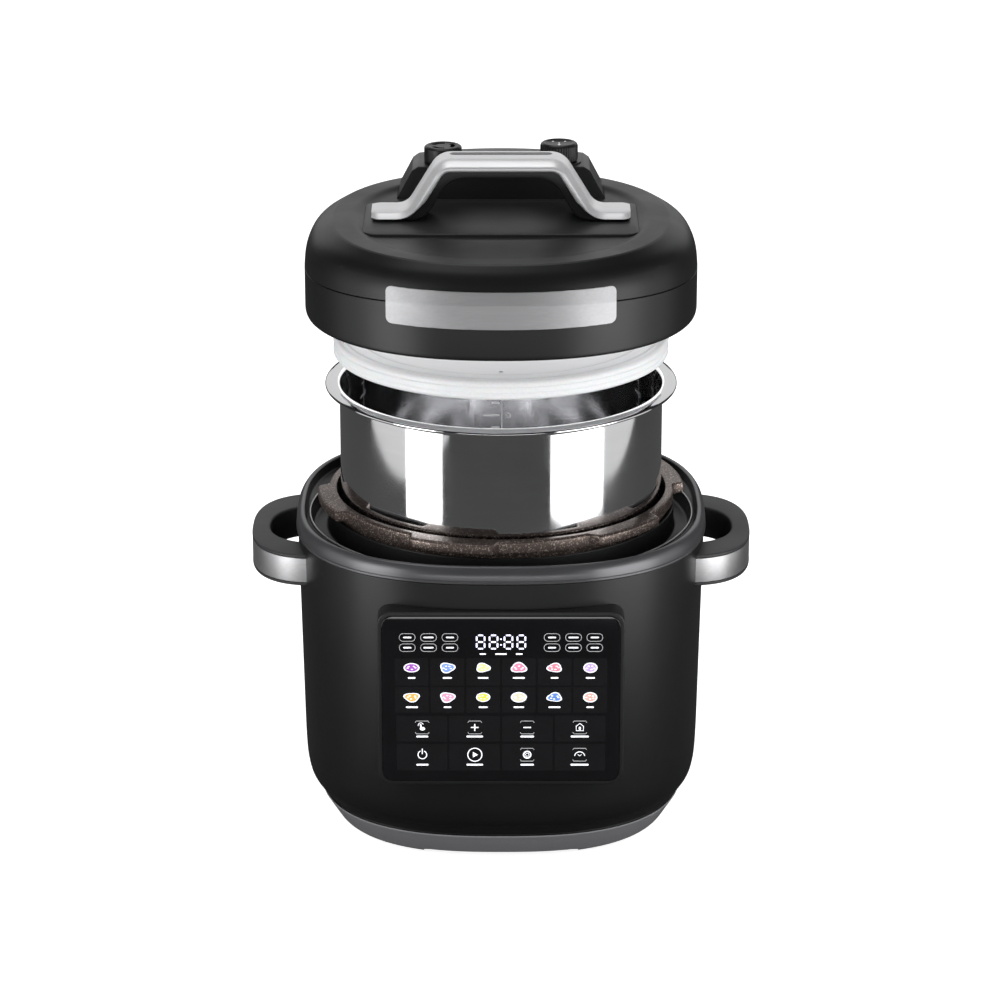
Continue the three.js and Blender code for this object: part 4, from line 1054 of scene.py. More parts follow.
    def build_tray(self) -> None:
        """Build the base tray with its skirt, its notch at the front and its recesses for the feet."""
        floor, seam = self.tray.low.z, self.shell.low.z - 0.3
        top, skirt = self.tray.high.z, self.skirt_height
        profile = [(28.0, floor, 1.5), (23.5, floor + 1.2, 3), (13, skirt - 0.4, 1.2), (14.8, skirt + 0.6, 0.6),
                   (9.9, seam, 0.8), (11.1, seam + 0.2, 0), (11.1, top, 0.5), (13, top, 0.5), (13.2, seam, 0),
                   (17.4, skirt, 2), (27, 7.0, 3)]
        piece = around("base_tray_fine", lambda angle: [
            (0.0, floor, 0), *[(self.outline.radius(angle, inset), z, reach) for inset, z, reach in profile],
            (0.0, 7.0, 0)], steps=240, closed=False)
        depth, wide = self.outline.half_depth, self.notch_half_width
        notch = skin("front notch", [[(x, y, z) for x, z in (
            (-wide - 1, 0), (wide + 1, 0), (wide, floor + self.notch_height), (-wide, floor + self.notch_height))]
            for y in (-depth - 1, -depth + 34)])
        feet = [Extent.of(f"foot_{i}").middle for i in range(1, 5)]
        recesses = [turned("recess", [(0, -1, 0), (9.3, -1, 0), (9.3, 5.3, 0), (0, 5.3, 0)], closed=False, steps=48,
                           at=(foot.x, foot.y)) for foot in feet]
        vents = [prism("vent", rounded_rectangle(36, 4, 1.9, (30 * side, -28 + 14 * row)), -1, 9)
                 for side in (-1, 1) for row in range(3)]
        cut(piece, notch, *recesses, *vents)
        piece.data.materials.append(Finishes.SKIRT.material())
        # The tray is one grey moulding. Its band above the skirt lies in the shade under the shell's hem and takes the
        # black land finish: painted shade.
        piece.data.materials.append(Finishes.LAND.material())
        for face in piece.data.polygons:
            face.material_index = 1 if face.center.z / MM > skirt - 0.1 else 0
        place(piece, Body.BASE, Finishes.SKIRT, "grey_plastic", "base_tray")

    def build_feet(self) -> None:
        """Build the four rubber feet, each with a shallow ring in its face."""
        for i in range(1, 5):
            foot = Extent.of(f"foot_{i}")
            radius = (foot.high.y - foot.low.y) / 2
            corners = [(0, 0.5, 0), (4, 0.5, 0.3), (4.6, 0, 0.3), (radius - 1, 0, 0.8), (radius, 1.2, 0.6),
                       (radius, foot.high.z, 0), (0, foot.high.z, 0)]
            piece = turned(f"foot_{i}_fine", corners, closed=False, steps=64, at=(foot.middle.x, foot.middle.y))
            place(piece, Body.BASE, Finishes.RUBBER, "foot_rubber", f"foot_{i}")


@dataclass
class CookWell:
    """The cast outer pot with its bayonet lugs, the heating plate and the sensor in its middle."""

    well_radius: float = 112.9
    wall: float = 2.3
    flange_radius: float = 118.6
    lug_reach: float = 7.4
    lug_count: int = 6
    lug_half_degrees: float = 15.0
    lug_slope_degrees: float = 2.2
    phase_degrees: float = -15.5
    hole_radius: float = 40.0

    def build(self) -> None:
        """Build the outer pot, the heating plate and the sensor."""
        self.build_outer_pot()
        self.build_heater()

    def lug(self, angle: float) -> float:
        """Return how far a lug stands out at an angle, from 0 between lugs to 1 on one.

        Args:
            angle: The angle round the axis, in radians.

        Returns:
            The share of a lug's full reach.
        """
        pitch = 360 / self.lug_count
        off = (math.degrees(angle - FRONT) - self.phase_degrees + pitch / 2) % pitch - pitch / 2
        share = (self.lug_half_degrees - abs(off)) / self.lug_slope_degrees
        share = max(0.0, min(1.0, share))
        return share * share * (3 - 2 * share)

    def build_outer_pot(self) -> None:
        """Build the outer pot round its flange and lugs."""
        pot = Extent.of("outer_pot")
        low, top = pot.low.z, pot.high.z
        radius, outer, flange = self.well_radius, self.well_radius + self.wall, self.flange_radius

        def corners(angle: float) -> list[Corner]:
            """Return the section at an angle: the flange grows into a lug.

            Args:
                angle: The angle round the axis, in radians.

            Returns:
                The corners.
            """
            lug = self.lug(angle)
            reach = flange + self.lug_reach * lug
            under = top - 8 + 1.0 * lug
            return [
                (self.hole_radius, low, 0), (outer, low, 2), (outer, top - 8.2, 0.5), (flange, under, 0.6),
                (reach - 0.02, under + 0.1, 0.9), (reach, top - 1.2, 0.5), (reach - 1.4, top, 0.6), (radius, top, 1.2),
                (radius, low + 2, 3), (self.hole_radius, low + 2, 0),
            ]

        piece = around("outer_pot_fine", corners, steps=540, fillet_steps=4)
        place(piece, Body.BASE, Finishes.BRONZE, "cast_bronze", "outer_pot")

    def build_heater(self) -> None:
        """Build the heating plate with its turned steps, and the sprung sensor cap."""
        plate = Extent.of("heating_plate")
        radius, top = plate.high.x, plate.high.z
        bottom = top - 13.4
        corners: list[Corner] = [(17, bottom, 0), (radius - 2, bottom, 1), (radius, bottom + 3, 2),
                                 (radius, top - 3, 2), (radius - 3, top, 2)]
        for groove in (80, 60, 40):
            corners += [(groove + 0.8, top, 0.3), (groove, top - 0.5, 0.3), (groove - 0.8, top, 0.3)]
        corners += [(18, top, 0.8), (17, top - 1, 0.5)]
        place(turned("heating_plate_fine", corners), Body.BASE, Finishes.HEATER, "cast_aluminium", "heating_plate")
        probe = Extent.of("sensor_probe")
        cap, crest, foot = probe.high.x, probe.high.z, probe.low.z
        corners = [(0, foot, 0), (7.6, foot, 0.4), (7.6, foot + 1.6, 0.4), (5, foot + 1.6, 0), (5, crest - 6, 0.5),
                   (cap, crest - 6, 0.8), (cap, crest - 1, 1), (cap - 2, crest, 1), (4, crest - 0.1, 0.4),
                   (3.4, crest - 0.5, 0.3), (0, crest - 0.5, 0)]
        place(turned("sensor_probe_fine", corners, closed=False, steps=64), Body.SENSOR, Finishes.SPUN,
              "spun_aluminium", "sensor_probe")


@dataclass
class TouchPanel:
    """The panel's frame, its black glass, and the symbols that light up behind it."""

    housing: Housing
    glass_inset: float = 2.6
    corner: float = 9.0
    mark: float = 0.06
    field_columns: tuple[float, ...] = (33.6, 47.7, 61.7)
    field_rows: Point2 = (43.9, 36.7)
    picture_pitch: float = 23.6
    button_columns: tuple[float, ...] = (-52.3, -17.4, 17.4, 52.3)
    button_rows: Point2 = (-20.1, -39.7)
    button_pitch: float = 34.85
    frame: Extent = field(init=False)
    glass: Extent = field(init=False)

    def __post_init__(self) -> None:
        """Measure the frame and the glass."""
        self.frame, self.glass = Extent.of("panel_frame"), Extent.of("panel_glass")

    def build(self) -> None:
        """Build the frame, the glass and every symbol."""
        self.build_frame()
        self.build_glass()
        self.build_tiles()
        self.build_outlines()
        self.build_symbols()
        self.build_digits()
        self.build_food()

    def outline(self, inset: float) -> list[Point2]:
        """Return the panel's outline moved in by an inset.

        Args:
            inset: How far the outline is moved in.

        Returns:
            The outline's points.
        """
        width = self.frame.high.x - self.frame.low.x - 2 * inset
        height = self.frame.high.z - self.frame.low.z - 2 * inset
        return rounded_rectangle(width, height, self.corner - 0.6 * inset, (0, self.frame.middle.z), steps=12)

    def build_frame(self) -> None:
        """Build the frame, which stands square off the round shell."""
        front = self.frame.low.y
        body = soften(prism("panel_frame_fine", self.outline(0), front, -105, Plane.FRONT), 0.9, segments=4)
        recess = prism("glass recess", self.outline(self.glass_inset), front - 1, self.glass.high.y + 0.3, Plane.FRONT)
        opening = prism("window", rounded_rectangle(133, 95, 4, (0, self.frame.middle.z)), front - 2, -90, Plane.FRONT)
        cut(body, recess, opening, self.housing.envelope(0.3))
        place(body, Body.BASE, Finishes.PLASTIC, "black_plastic", "panel_frame")

    def build_glass(self) -> None:
        """Build the glass with a polished edge."""
        piece = prism("panel_glass_fine", self.outline(self.glass_inset + 0.3), self.glass.low.y, self.glass.high.y,
                      Plane.FRONT)
        place(soften(piece, 0.35), Body.BASE, Finishes.GLASS, "panel_gloss", "panel_glass")

    def stencil(self, lift: float = 1.0) -> Stencil:
        """Return an empty stencil on the glass.

        Args:
            lift: How many mark heights it stands off the glass.

        Returns:
            The stencil.
        """
        front, middle = self.glass.low.y, self.frame.middle.z

        def onto(u: float, v: float, height: float) -> Point3:
            """Place a point of the drawing, measured from the panel's middle, on the glass."""
            return (u, front + 0.01 - height * lift, middle + v)

        return Stencil(onto, self.mark)

    def add(self, marks: Stencil, name: str, finish: Finish) -> None:
        """Turn a stencil into a piece on the glass."""
        place(marks.object(name), Body.BASE, finish, "panel_gloss")

    def build_tiles(self) -> None:
        """Build the faint fields behind the symbols."""
        tiles = self.stencil(0.4)
        for columns, width, rows in ((6, 22.2, ((19.5, 19.3), (-0.4, 18.2))), (4, 33.6, ((-21, 18.4), (-41.5, 19.2)))):
            for column in range(columns):
                u = (column - (columns - 1) / 2) * (width + 1.4)
                for v, height in rows:
                    tiles.shape(rounded_rectangle(width, height, 0.8, (u, v), steps=2))
        self.add(tiles, "panel_tiles", Finishes.TILE)

    def build_outlines(self) -> None:
        """Build the twelve small outlined fields beside the digits, and the brackets round the buttons."""
        rings = self.stencil()
        for side in (-1, 1):
            for u in self.field_columns:
                for v in self.field_rows:
                    rings.stroke(rounded_rectangle(10.4, 5.4, 2.5, (side * u, v), steps=5), 0.36, closed=True)
        self.add(rings, "panel_field_outlines", Finishes.OUTLINE)
        brackets = self.stencil()
        upper, lower = self.button_rows
        places = [(u, upper) for u in self.button_columns] + [(u, lower) for u in self.button_columns[2:]]
        for u, v in places:
            for way in (-1, 1):
                line = [(-4.6, 3.5), (-3.9, 4.6), (3.9, 4.6), (4.6, 3.5)]
                brackets.stroke([(u + x, v + way * z) for x, z in line], 0.42)
        self.add(brackets, "panel_brackets", Finishes.OUTLINE)

    def build_symbols(self) -> None:
        """Build the white bars under the symbols and the button symbols."""
        marks = self.stencil()
        for side in (-1, 1):
            for u, length in zip(self.field_columns, (5.2, 6.6, 5.4)):
                for v in self.field_rows:
                    marks.bar(side * u, v, length, 1.0)
        for column in range(6):
            for row, v in enumerate((15.3, -5.6)):
                marks.bar((column - 2.5) * self.picture_pitch, v, 5.0 + (column * 5 + row * 3) % 4, 1.1)
        for column in range(4):
            for row, v in enumerate((-26.6, -46.9)):
                marks.bar((column - 1.5) * self.button_pitch, v, 8.0 + (column * 3 + row * 5) % 5, 1.25)
        for u, length in ((-12, 4.2), (0, 7.6), (12, 4.6)):
            marks.bar(u, 32.2, length, 1.0)
        self.draw_buttons(marks)
        self.add(marks, "panel_symbols", Finishes.SYMBOL)

    def draw_buttons(self, marks: Stencil) -> None:
        """Draw the eight button symbols: hand, plus, minus, pressure, power, start, warm and timer.

        Args:
            marks: The stencil that they are drawn on.
        """
        upper, lower = self.button_rows
        left, mid_left, mid_right, right = self.button_columns
        marks.oval(left + 0.2, upper - 0.9, 1.7, 1.3)
        marks.stroke([(left - 0.5, upper - 0.6), (left - 1.1, upper + 2.4)], 1.0)
        marks.arc(left - 0.9, upper + 1.6, 1.7, 20, 200, 0.4)
        marks.bar(mid_left, upper, 5.2, 0.8)
        marks.bar(mid_left, upper, 0.8, 5.2)
        marks.bar(mid_right, upper, 5.2, 0.8)
        house = [(-2.4, -2.3), (2.4, -2.3), (2.4, 0.9), (0, 2.9), (-2.4, 0.9)]
        marks.stroke([(right + x, upper + z) for x, z in house], 0.5, closed=True)
        marks.bar(right, upper - 0.6, 1.5, 2.2)
        marks.arc(left, lower, 2.9, 115, 425, 0.62)
        marks.bar(left, lower + 2.4, 0.7, 4.0)
        marks.arc(mid_left, lower, 4.7, 0, 360, 0.62, steps=36)
        marks.shape([(mid_left - 1.3, lower - 2.0), (mid_left + 2.1, lower), (mid_left - 1.3, lower + 2.0)])
        marks.arc(mid_right, lower, 2.4, 0, 360, 0.9, steps=24)
        for k in range(6):
            turn = math.radians(60 * k)
            marks.oval(mid_right + 1.15 * math.cos(turn), lower + 1.15 * math.sin(turn), 0.42, 0.42, steps=8)
        marks.arc(right, lower - 1.3, 3.4, 8, 172, 0.55)
        marks.stroke([(right - 1.3, lower + 0.2), (right, lower - 0.9), (right + 1.3, lower + 0.2)], 0.4)

    def build_digits(self) -> None:
        """Build the four seven-segment digits, all lit, and the two dots between them."""
        digits = self.stencil()
        middle, half_width, half_height, width = 40.7, 2.6, 4.7, 1.15
        for u in (-13.4, -4.9, 4.9, 13.4):
            for v in (-half_height, 0, half_height):
                digits.bar(u, middle + v, 2 * half_width - 1.7, width)
            for side in (-1, 1):
                for way in (-1, 1):
                    digits.bar(u + side * half_width, middle + way * half_height / 2, width, half_height - 1.4)
        for way in (-1, 1):
            digits.oval(0, middle + way * 2.0, 0.6, 0.6, steps=12)
        self.add(digits, "panel_digits", Finishes.DIGIT)

    def build_food(self) -> None:
        """Build the twelve small food pictures: a coloured shape on a white one, with light pieces on top."""
        dishes = {
            "purple": (0.30, 0.08, 0.42), "blue": (0.18, 0.28, 0.6), "green": (0.62, 0.72, 0.25),
            "rose": (0.8, 0.2, 0.32), "coral": (0.8, 0.2, 0.26), "lilac": (0.45, 0.32, 0.6),
            "orange": (0.85, 0.36, 0.08), "pink": (0.75, 0.28, 0.42), "yellow": (0.85, 0.6, 0.06),
            "cream": (0.7, 0.55, 0.4), "navy": (0.1, 0.2, 0.55), "salmon": (0.8, 0.35, 0.3),
        }
        colours = {**dishes, "white": (0.82, 0.84, 0.9)}
        layers = {name: self.stencil(1 + 0.6 * (name != "white")) for name in colours}
        pieces = self.stencil(2.2)
        for i, name in enumerate(dishes):
            u, v = ((i % 6) - 2.5) * self.picture_pitch, 22.5 if i < 6 else 1.5
            half_width, half_height = 5.3 - 0.3 * (i % 3), 3.3 + 0.35 * (i % 2)
            lumps = [0.0 if i in (0, 5, 8, 9, 11) else 0.12 * math.sin(3 * a + i) for a in self.turns(28)]
            for layer, share in (("white", 1.0), (name, 0.8)):
                wide, high = half_width * share, half_height * share
                layers[layer].shape([(u + wide * (1 + lump) * math.cos(a), v + high * (1 + lump) * math.sin(a))
                                     for a, lump in zip(self.turns(28), lumps)])
            for k in range(5):
                turn = 2.4 * k + i
                pieces.oval(u + 2.6 * math.cos(turn), v + 1.2 * math.sin(turn), 0.75, 0.42, steps=10)
        for name, layer in layers.items():
            self.add(layer, f"panel_food_{name}", Finishes.food(name, colours[name]))
        self.add(pieces, "panel_food_pieces", Finishes.SYMBOL)

    @staticmethod
    def turns(count: int) -> list[float]:
        """Return evenly spaced angles round a circle."""
        return [2 * math.pi * k / count for k in range(count)]


@dataclass
class SideHandle:
    """A loop handle on one side of the body, with a silver band let into its outer face."""

    side: Side
    squareness: float = 2.6
    root: float = 122.0
    hole_reach: float = 159.0
    hole_half: float = 38.0
    band_edge: float = 2.2
    band_depth: float = 1.6
    steps: int = 84

    def build(self) -> None:
        """Build the loop and its band."""
        word = self.side.name.lower()
        size = Extent.of(f"handle_{word}")
        low, high = size.low.z, size.high.z
        tip, half = max(abs(size.low.x), abs(size.high.x)), size.high.y
        edge, depth = self.band_edge, self.band_depth + 0.3
        loop: list[tuple[bool, float, float, float]] = [
            (True, 0, low, 1.6), (False, 0, low, 1.0), (False, 0, low + edge, 0.3), (False, depth, low + edge, 0),
            (False, depth, high - edge, 0), (False, 0, high - edge, 0.3), (False, 0, high, 1.6), (True, 0, high, 2.2),
        ]
        band: list[tuple[bool, float, float, float]] = [
            (False, self.band_depth, low + edge + 0.2, 0), (False, 0.1, low + edge + 0.2, 0.4),
            (False, 0.1, high - edge - 0.2, 0.4), (False, self.band_depth, high - edge - 0.2, 0),
        ]
        place(self.sweep(f"handle_{word}_fine", loop, tip, half), Body.BASE, Finishes.HANDLE, "black_plastic",
              f"handle_{word}")
        place(self.sweep(f"handle_band_{word}_fine", band, tip, half), Body.BASE, Finishes.SILVER, "brushed_silver",
              f"handle_band_{word}")

    def sweep(self, name: str, section: Sequence[tuple[bool, float, float, float]], tip: float,
              half: float) -> bpy.types.Object:
        """Carry a section round the loop.

        Args:
            name: The piece's name.
            section: Corners as (measured from the inner side, distance in from there, height, rounding).
            tip: How far the loop reaches from the middle of the cooker.
            half: Half of the loop's length.

        Returns:
            The new object.
        """
        outer = Outline(tip - self.root, half, self.squareness)
        inner = Outline(self.hole_reach - self.root, self.hole_half, 2.3)
        loops = []
        for i in range(self.steps + 1):
            angle = math.pi * (i / self.steps - 0.5)
            far, near = outer.radius(angle), inner.radius(angle)
            corners = [((near + offset) if from_inner else (far - offset), z, reach)
                       for from_inner, offset, z, reach in section]
            line = rounded(corners, closed=True, steps=4)
            loops.append([(self.side.value * (self.root + r * math.cos(angle)), r * math.sin(angle), z)
                          for r, z in line])
        return skin(name, loops)


@dataclass
class SteelPot:
    """The polished inner pot with its rolled rim and the level marks inside."""

    wall: float = 1.2
    corner: float = 13.0
    rim_height: float = 4.0
    mark_heights: tuple[float, ...] = (38.0, 56.0, 74.0, 92.0, 110.0)

    def build(self) -> None:
        """Build the pot and its marks."""
        size = Extent.of("inner_pot")
        low, top, reach = size.low.z, size.high.z, size.high.x
        radius = reach - 9.8
        seat, inner, corner = top - self.rim_height, radius - self.wall, self.corner
        corners = [
            (0, low, 0), (radius, low, corner), (radius, seat - 2.6, 1.5), (radius + 1.6, seat + 0.1, 1.5),
            (reach - 0.6, seat + 0.1, 0.6), (reach, seat + 0.9, 0.7), (reach - 0.3, seat + 2.2, 1.2),
            (radius + 5, top, 3), (inner + 0.8, top - 1.2, 2.2), (inner, seat - 3.4, 2),
            (inner, low + self.wall, corner), (0, low + self.wall, 0),
        ]
        piece = around("inner_pot_fine", lambda _: corners, steps=256, closed=False, fillet_steps=8)
        place(piece, Body.POT, Finishes.MIRROR, "mirror_steel", "inner_pot")
        self.build_marks(inner, low)

    def build_marks(self, inner: float, low: float) -> None:
        """Build the level marks, pressed into the back of the pot, as thin raised bars and rings.

        Args:
            inner: The radius of the pot's inner wall.
            low: The height of the pot's foot.
        """

        def onto(u: float, v: float, height: float) -> Point3:
            """Place a point of the drawing on the pot's inner wall."""
            radius, turn = inner + 0.02 - height, math.pi / 2 - u / inner
            return (radius * math.cos(turn), radius * math.sin(turn), low + v)

        marks = Stencil(onto, 0.18)
        for height in self.mark_heights:
            marks.bar(-7, height, 12, 0.9)
            marks.arc(5, height, 1.8, 0, 360, 0.5, steps=16)
            marks.bar(-4, height + 9, 6, 0.7)
        marks.bar(0.5, 76, 0.6, 92)
        place(marks.object("pot_level_marks"), Body.POT, Finishes.SPUN, "mirror_steel")


@dataclass
class SealAndPlate:
    """The silicone sealing ring and the inner plate that it grips."""

    web: float = 2.6
    plate_edge: float = 96.7
    vents: int = 6
    vent_radius: float = 1.7

    def build(self) -> None:
        """Build the ring, the plate and the plate's grommet."""
        ring = Extent.of("sealing_ring")
        low, top, radius = ring.low.z, ring.high.z, ring.high.x
        inner = radius - 16.7
        web = top - self.web
        corners: list[Corner] = [
            (radius - 10, low, 0.4), (radius - 1.5, low, 1.2), (radius, low + 1.4, 0.9), (radius, low + 4.4, 0.5),
            (radius - 0.7, low + 5.0, 0.4), (radius - 0.7, top - 4.6, 0.5), (radius, top - 4.0, 0.5),
            (radius, top - 1.6, 1.4), (radius - 1.8, top, 1.2),
            (radius - 5.5, top - 0.1, 0.5), (radius - 6.2, top - 0.8, 0.4), (radius - 7.2, top - 0.8, 0.4),
            (radius - 8, top - 0.1, 0.5), (inner + 1, top - 0.3, 0.5), (inner, top - 1.0, 0.5), (inner, web, 0.4),
            (radius - 3.2, web - 0.6, 1.0), (radius - 3, low + 2.4, 1.0), (radius - 10, low + 1.2, 0.4),
        ]
        place(turned("sealing_ring_fine", corners, steps=256), Body.SEAL, Finishes.SILICONE, "silicone",
              "sealing_ring")
        self.build_plate()

    def build_plate(self) -> None:
        """Build the plate, with its small vents and the grommet in its middle."""
        size = Extent.of("inner_plate")
        top, low, reach = size.high.z, size.high.z - 3.6, size.high.x
        flange = Extent.of("sealing_ring").high.z - self.web - 1.1
        edge = self.plate_edge
        corners = [
            (7, low, 0.4), (edge - 4, low, 1), (edge - 2, flange - 2.5, 1), (reach, flange - 2.5, 0.5),
            (reach, flange, 0.5), (edge, flange, 0.4), (edge, top - 0.6, 0.6), (edge - 1.2, top, 0.8),
            (edge - 5, top, 0.6), (edge - 6.2, top - 0.5, 0.6), (62, top - 0.5, 0.8), (60.5, top - 0.1, 0.8),
            (7, top - 0.1, 0.4),
        ]
        piece = turned("inner_plate_fine", corners, steps=192)
        turns = [FRONT + 2 * math.pi * i / self.vents for i in range(self.vents)]
        reach_vent = edge - 9
        holes = [turned("vent", [(0, low - 3, 0), (self.vent_radius, low - 3, 0), (self.vent_radius, top + 3, 0),
                                 (0, top + 3, 0)], closed=False, steps=24,
                        at=(reach_vent * math.cos(a), reach_vent * math.sin(a))) for a in turns]
        place(cut(piece, *holes), Body.PLATE, Finishes.PLATE, "spun_aluminium", "inner_plate")
        grommet = Extent.of("plate_grommet")
        radius, bottom, crest = grommet.high.x, grommet.low.z, grommet.high.z
        corners = [(4.6, bottom, 0.4), (radius, bottom, 0.8), (radius, bottom + 3, 0.5), (radius - 2.8, bottom + 3, 0),
                   (radius - 2.8, crest - 1.5, 0), (radius, crest - 1.5, 0.5), (radius - 1, crest, 0.6),
                   (4.6, crest, 0.4)]
        place(turned("plate_grommet_fine", corners, steps=64), Body.PLATE, Finishes.SILICONE, "silicone",
              "plate_grommet")


@dataclass
class LidShells:
    """The lid's side band, its domed top, the silver front plate, and the pressed dish inside."""

    squareness: float = 2.25
    wall: float = 4.0
    top_wall: float = 2.8
    crown_height: float = 61.5
    crown_inset: Point2 = (18.4, 10.5)
    ring_width: float = 15.5
    dish: float = 2.6
    seam_mean: float = 34.0
    seam_wave: float = 3.5
    clearance: float = 0.3
    plate_stand: float = 1.7
    plate_lean: float = 0.12
    foot: float = field(init=False)
    outline: Outline = field(init=False)
    crown: Outline = field(init=False)

    def __post_init__(self) -> None:
        """Measure the band."""
        band = Extent.of("lid_band")
        self.foot = band.low.z
        self.outline = Outline(band.high.x, band.high.y, self.squareness)
        self.crown = Outline(band.high.x - self.crown_inset[0], band.high.y - self.crown_inset[1], self.squareness)

    @property
    def crown_top(self) -> float:
        """The height of the crown's edge."""
        return self.foot + self.crown_height

    @property
    def floor(self) -> float:
        """The height of the crown's sunk middle."""
        return self.crown_top - self.dish - 0.6

    def seam(self, angle: float) -> float:
        """Return the seam's height at an angle: high at the front and rear, low at the sides."""
        return self.foot + self.seam_mean - self.seam_wave * math.cos(2 * angle)

    def build(self) -> None:
        """Build the shells, the front plate and the dish."""
        self.build_band()
        self.build_top()
        self.build_front_plate()
        self.build_dish()

    def shoulder(self, angle: float) -> list[tuple[float, float, float]]:
        """Return the shoulder's corners from the seam to the crown: share of the way in, height and rounding.

        Args:
            angle: The angle round the axis, in radians.

        Returns:
            The corners.
        """
        seam, crown = self.seam(angle), self.crown_top
        return [(0.0, seam, 0.5), (0.05, seam * 0.45 + (crown - 9) * 0.55, 6), (0.36, crown - 6.6, 8),
                (0.98, crown - 0.3, 0.7), (1.06, crown + 0.2, 0.5)]

    def build_band(self) -> None:
        """Build the side band below the seam."""

        def corners(angle: float) -> list[Corner]:
            """Return the band's section at an angle.

            Args:
                angle: The angle round the axis, in radians.

            Returns:
                The corners.
            """
            at = functools.partial(self.outline.radius, angle)
            seam, foot = self.seam(angle), self.foot
            return [(at(3.2), foot, 0.6), (at(0), foot, 3.4), (at(0), seam - 0.1, 0.5), (at(1.2), seam, 0.3),
                    (at(self.wall), seam, 0), (at(self.wall - 0.3), foot + 14, 0),
                (at(self.wall - 0.3), foot + 0.8, 0.3)]

        place(around("lid_band_fine", corners, steps=256), Body.LID, Finishes.LID_BAND, "lid_black", "lid_band")

    def build_top(self) -> None:
        """Build the domed top with its crown ring, its sunk middle and the low pad under the handle."""
        crown_top, floor = self.crown_top, self.floor
        handle = Extent.of("lid_handle_cap")
        pad_half, pad_depth, pad_y = handle.high.x + 5, 84.0, -2.0

        def corners(angle: float) -> list[Corner]:
            """Return the top's section at an angle, from the middle over the crown and back underneath.

            Args:
                angle: The angle round the axis, in radians.

            Returns:
                The corners.
            """
            outer = [(self.outline.toward(self.crown, share, angle), z + (self.clearance if share == 0 else 0), reach)
                     for share, z, reach in self.shoulder(angle)]
            at = functools.partial(self.crown.radius, angle)
            under = self.outline.radius(angle, self.top_wall)
            return [
                (0, floor, 0), (40, floor, 20), (at(self.ring_width + 5), crown_top - self.dish, 4),
                (at(self.ring_width), crown_top + 0.2, 2.5), *reversed(outer), (under, self.seam(angle) + 0.3, 0),
                (under - 0.4, self.seam(angle) + 5, 2), (at(-6), crown_top - 9, 8), (at(12), floor - self.top_wall, 8),
                (40, floor - self.top_wall, 0), (0, floor - self.top_wall, 0),
            ]

        piece = around("lid_top_fine", corners, steps=256, closed=False)
        bores = [turned("bore", [(0, floor - 9, 0), (5.6, floor - 9, 0), (5.6, floor + 9, 0), (0, floor + 9, 0)],
                        closed=False, steps=32, at=(x, 76)) for x in (-40, 40)]
        cut(piece, *bores)
        # The crown's upper faces take the lighter lid-top finish, and the shoulder and underside take the darker side
        # finish. This paints the sheen of the upward faces into their colour.
        piece.data.materials.append(Finishes.LID_TOP_SHEEN.material())
        piece.data.materials.append(Finishes.LID_BAND.material())
        for face in piece.data.polygons:
            x, y, z = face.center / MM
            edge = self.crown.radius(math.atan2(y, x), -0.6)
            face.material_index = int(math.hypot(x, y) > edge or z < floor - 0.8)
        place(piece, Body.LID, Finishes.LID_TOP_SHEEN, "lid_black", "lid_shell")
        pad = prism("lid_handle_pad", rounded_rectangle(2 * pad_half, pad_depth, 9, (0, pad_y), steps=10), floor - 1,
                    floor + 2.2)
        place(soften(pad, 0.9, segments=4), Body.LID, Finishes.LID_TOP_SHEEN, "lid_black")

    def surface(self, angle: float, height: float, grow: float) -> float:
        """Return the distance from the axis to the lid's side at an angle and height, grown outwards.

        Args:
            angle: The angle round the axis, in radians.
            height: The height.
            grow: How far the surface is moved out.

        Returns:
            The distance from the axis.
        """
        if height <= self.seam(angle):
            return self.outline.radius(angle) + grow
        (_, low, _), (share, high, _) = self.shoulder(angle)[:2]
        part = (height - low) / (high - low)
        return self.outline.toward(self.crown, share * part, angle) + grow

    def front_point(self, across: float, height: float, grow: float) -> Point3:
        """Return the point of the lid's front that lies a distance across from the middle, grown outwards.

        Args:
            across: The distance from the middle.
            height: The height.
            grow: How far the surface is moved out.

        Returns:
            The point.
        """
        angle = FRONT
        for _ in range(8):
            radius = self.surface(angle, height, grow)
            angle = FRONT + math.asin(across / radius)
        return (radius * math.cos(angle), radius * math.sin(angle), height)

    def build_front_plate(self) -> None:
        """Build the silver plate that wraps the front and creases along the seam."""
        size = Extent.of("lid_front_plate")
        half, low, high = size.high.x, size.low.z, size.high.z
        corner, columns, rows = 4.0, 72, 40
        grid: list[list[Point3]] = []
        back: list[list[Point3]] = []
        for i in range(columns + 1):
            t = -math.cos(math.pi * i / columns)
            s = half * (0.7 * t + 0.3 * t ** 3)
            over = max(0.0, abs(s) - (half - corner))
            cut_back = corner - math.sqrt(max(0.0, corner ** 2 - over ** 2))
            bottom, top = low + cut_back, high - cut_back
            line, behind = [], []
            for k in range(rows + 1):
                z = bottom + (top - bottom) * k / rows
                above = max(0.0, z - self.seam(FRONT + s / self.outline.half_width))
                for row, grow in ((line, self.plate_stand - self.plate_lean * above), (behind, 0.35)):
                    row.append(self.front_point(s, z, grow))
            grid.append(line)
            back.append(behind)
        loops = [front + list(reversed(rear)) for front, rear in zip(grid, back)]
        piece = soften(skin("lid_front_plate_fine", loops, sharp=5), 0.4, segments=2, above=60)
        place(piece, Body.LID, Finishes.NAMEPLATE, "brushed_silver", "lid_front_plate")

    def build_dish(self) -> None:
        """Build the pressed dish under the lid, with its six lugs turned in at the edge."""
        size = Extent.of("lid_dish")
        low, top, reach = size.low.z, size.high.z, 127.9
        skirt, roof = reach - 1.2, 117.8
        shoulder = low + 16.2
        lugs = CookWell()

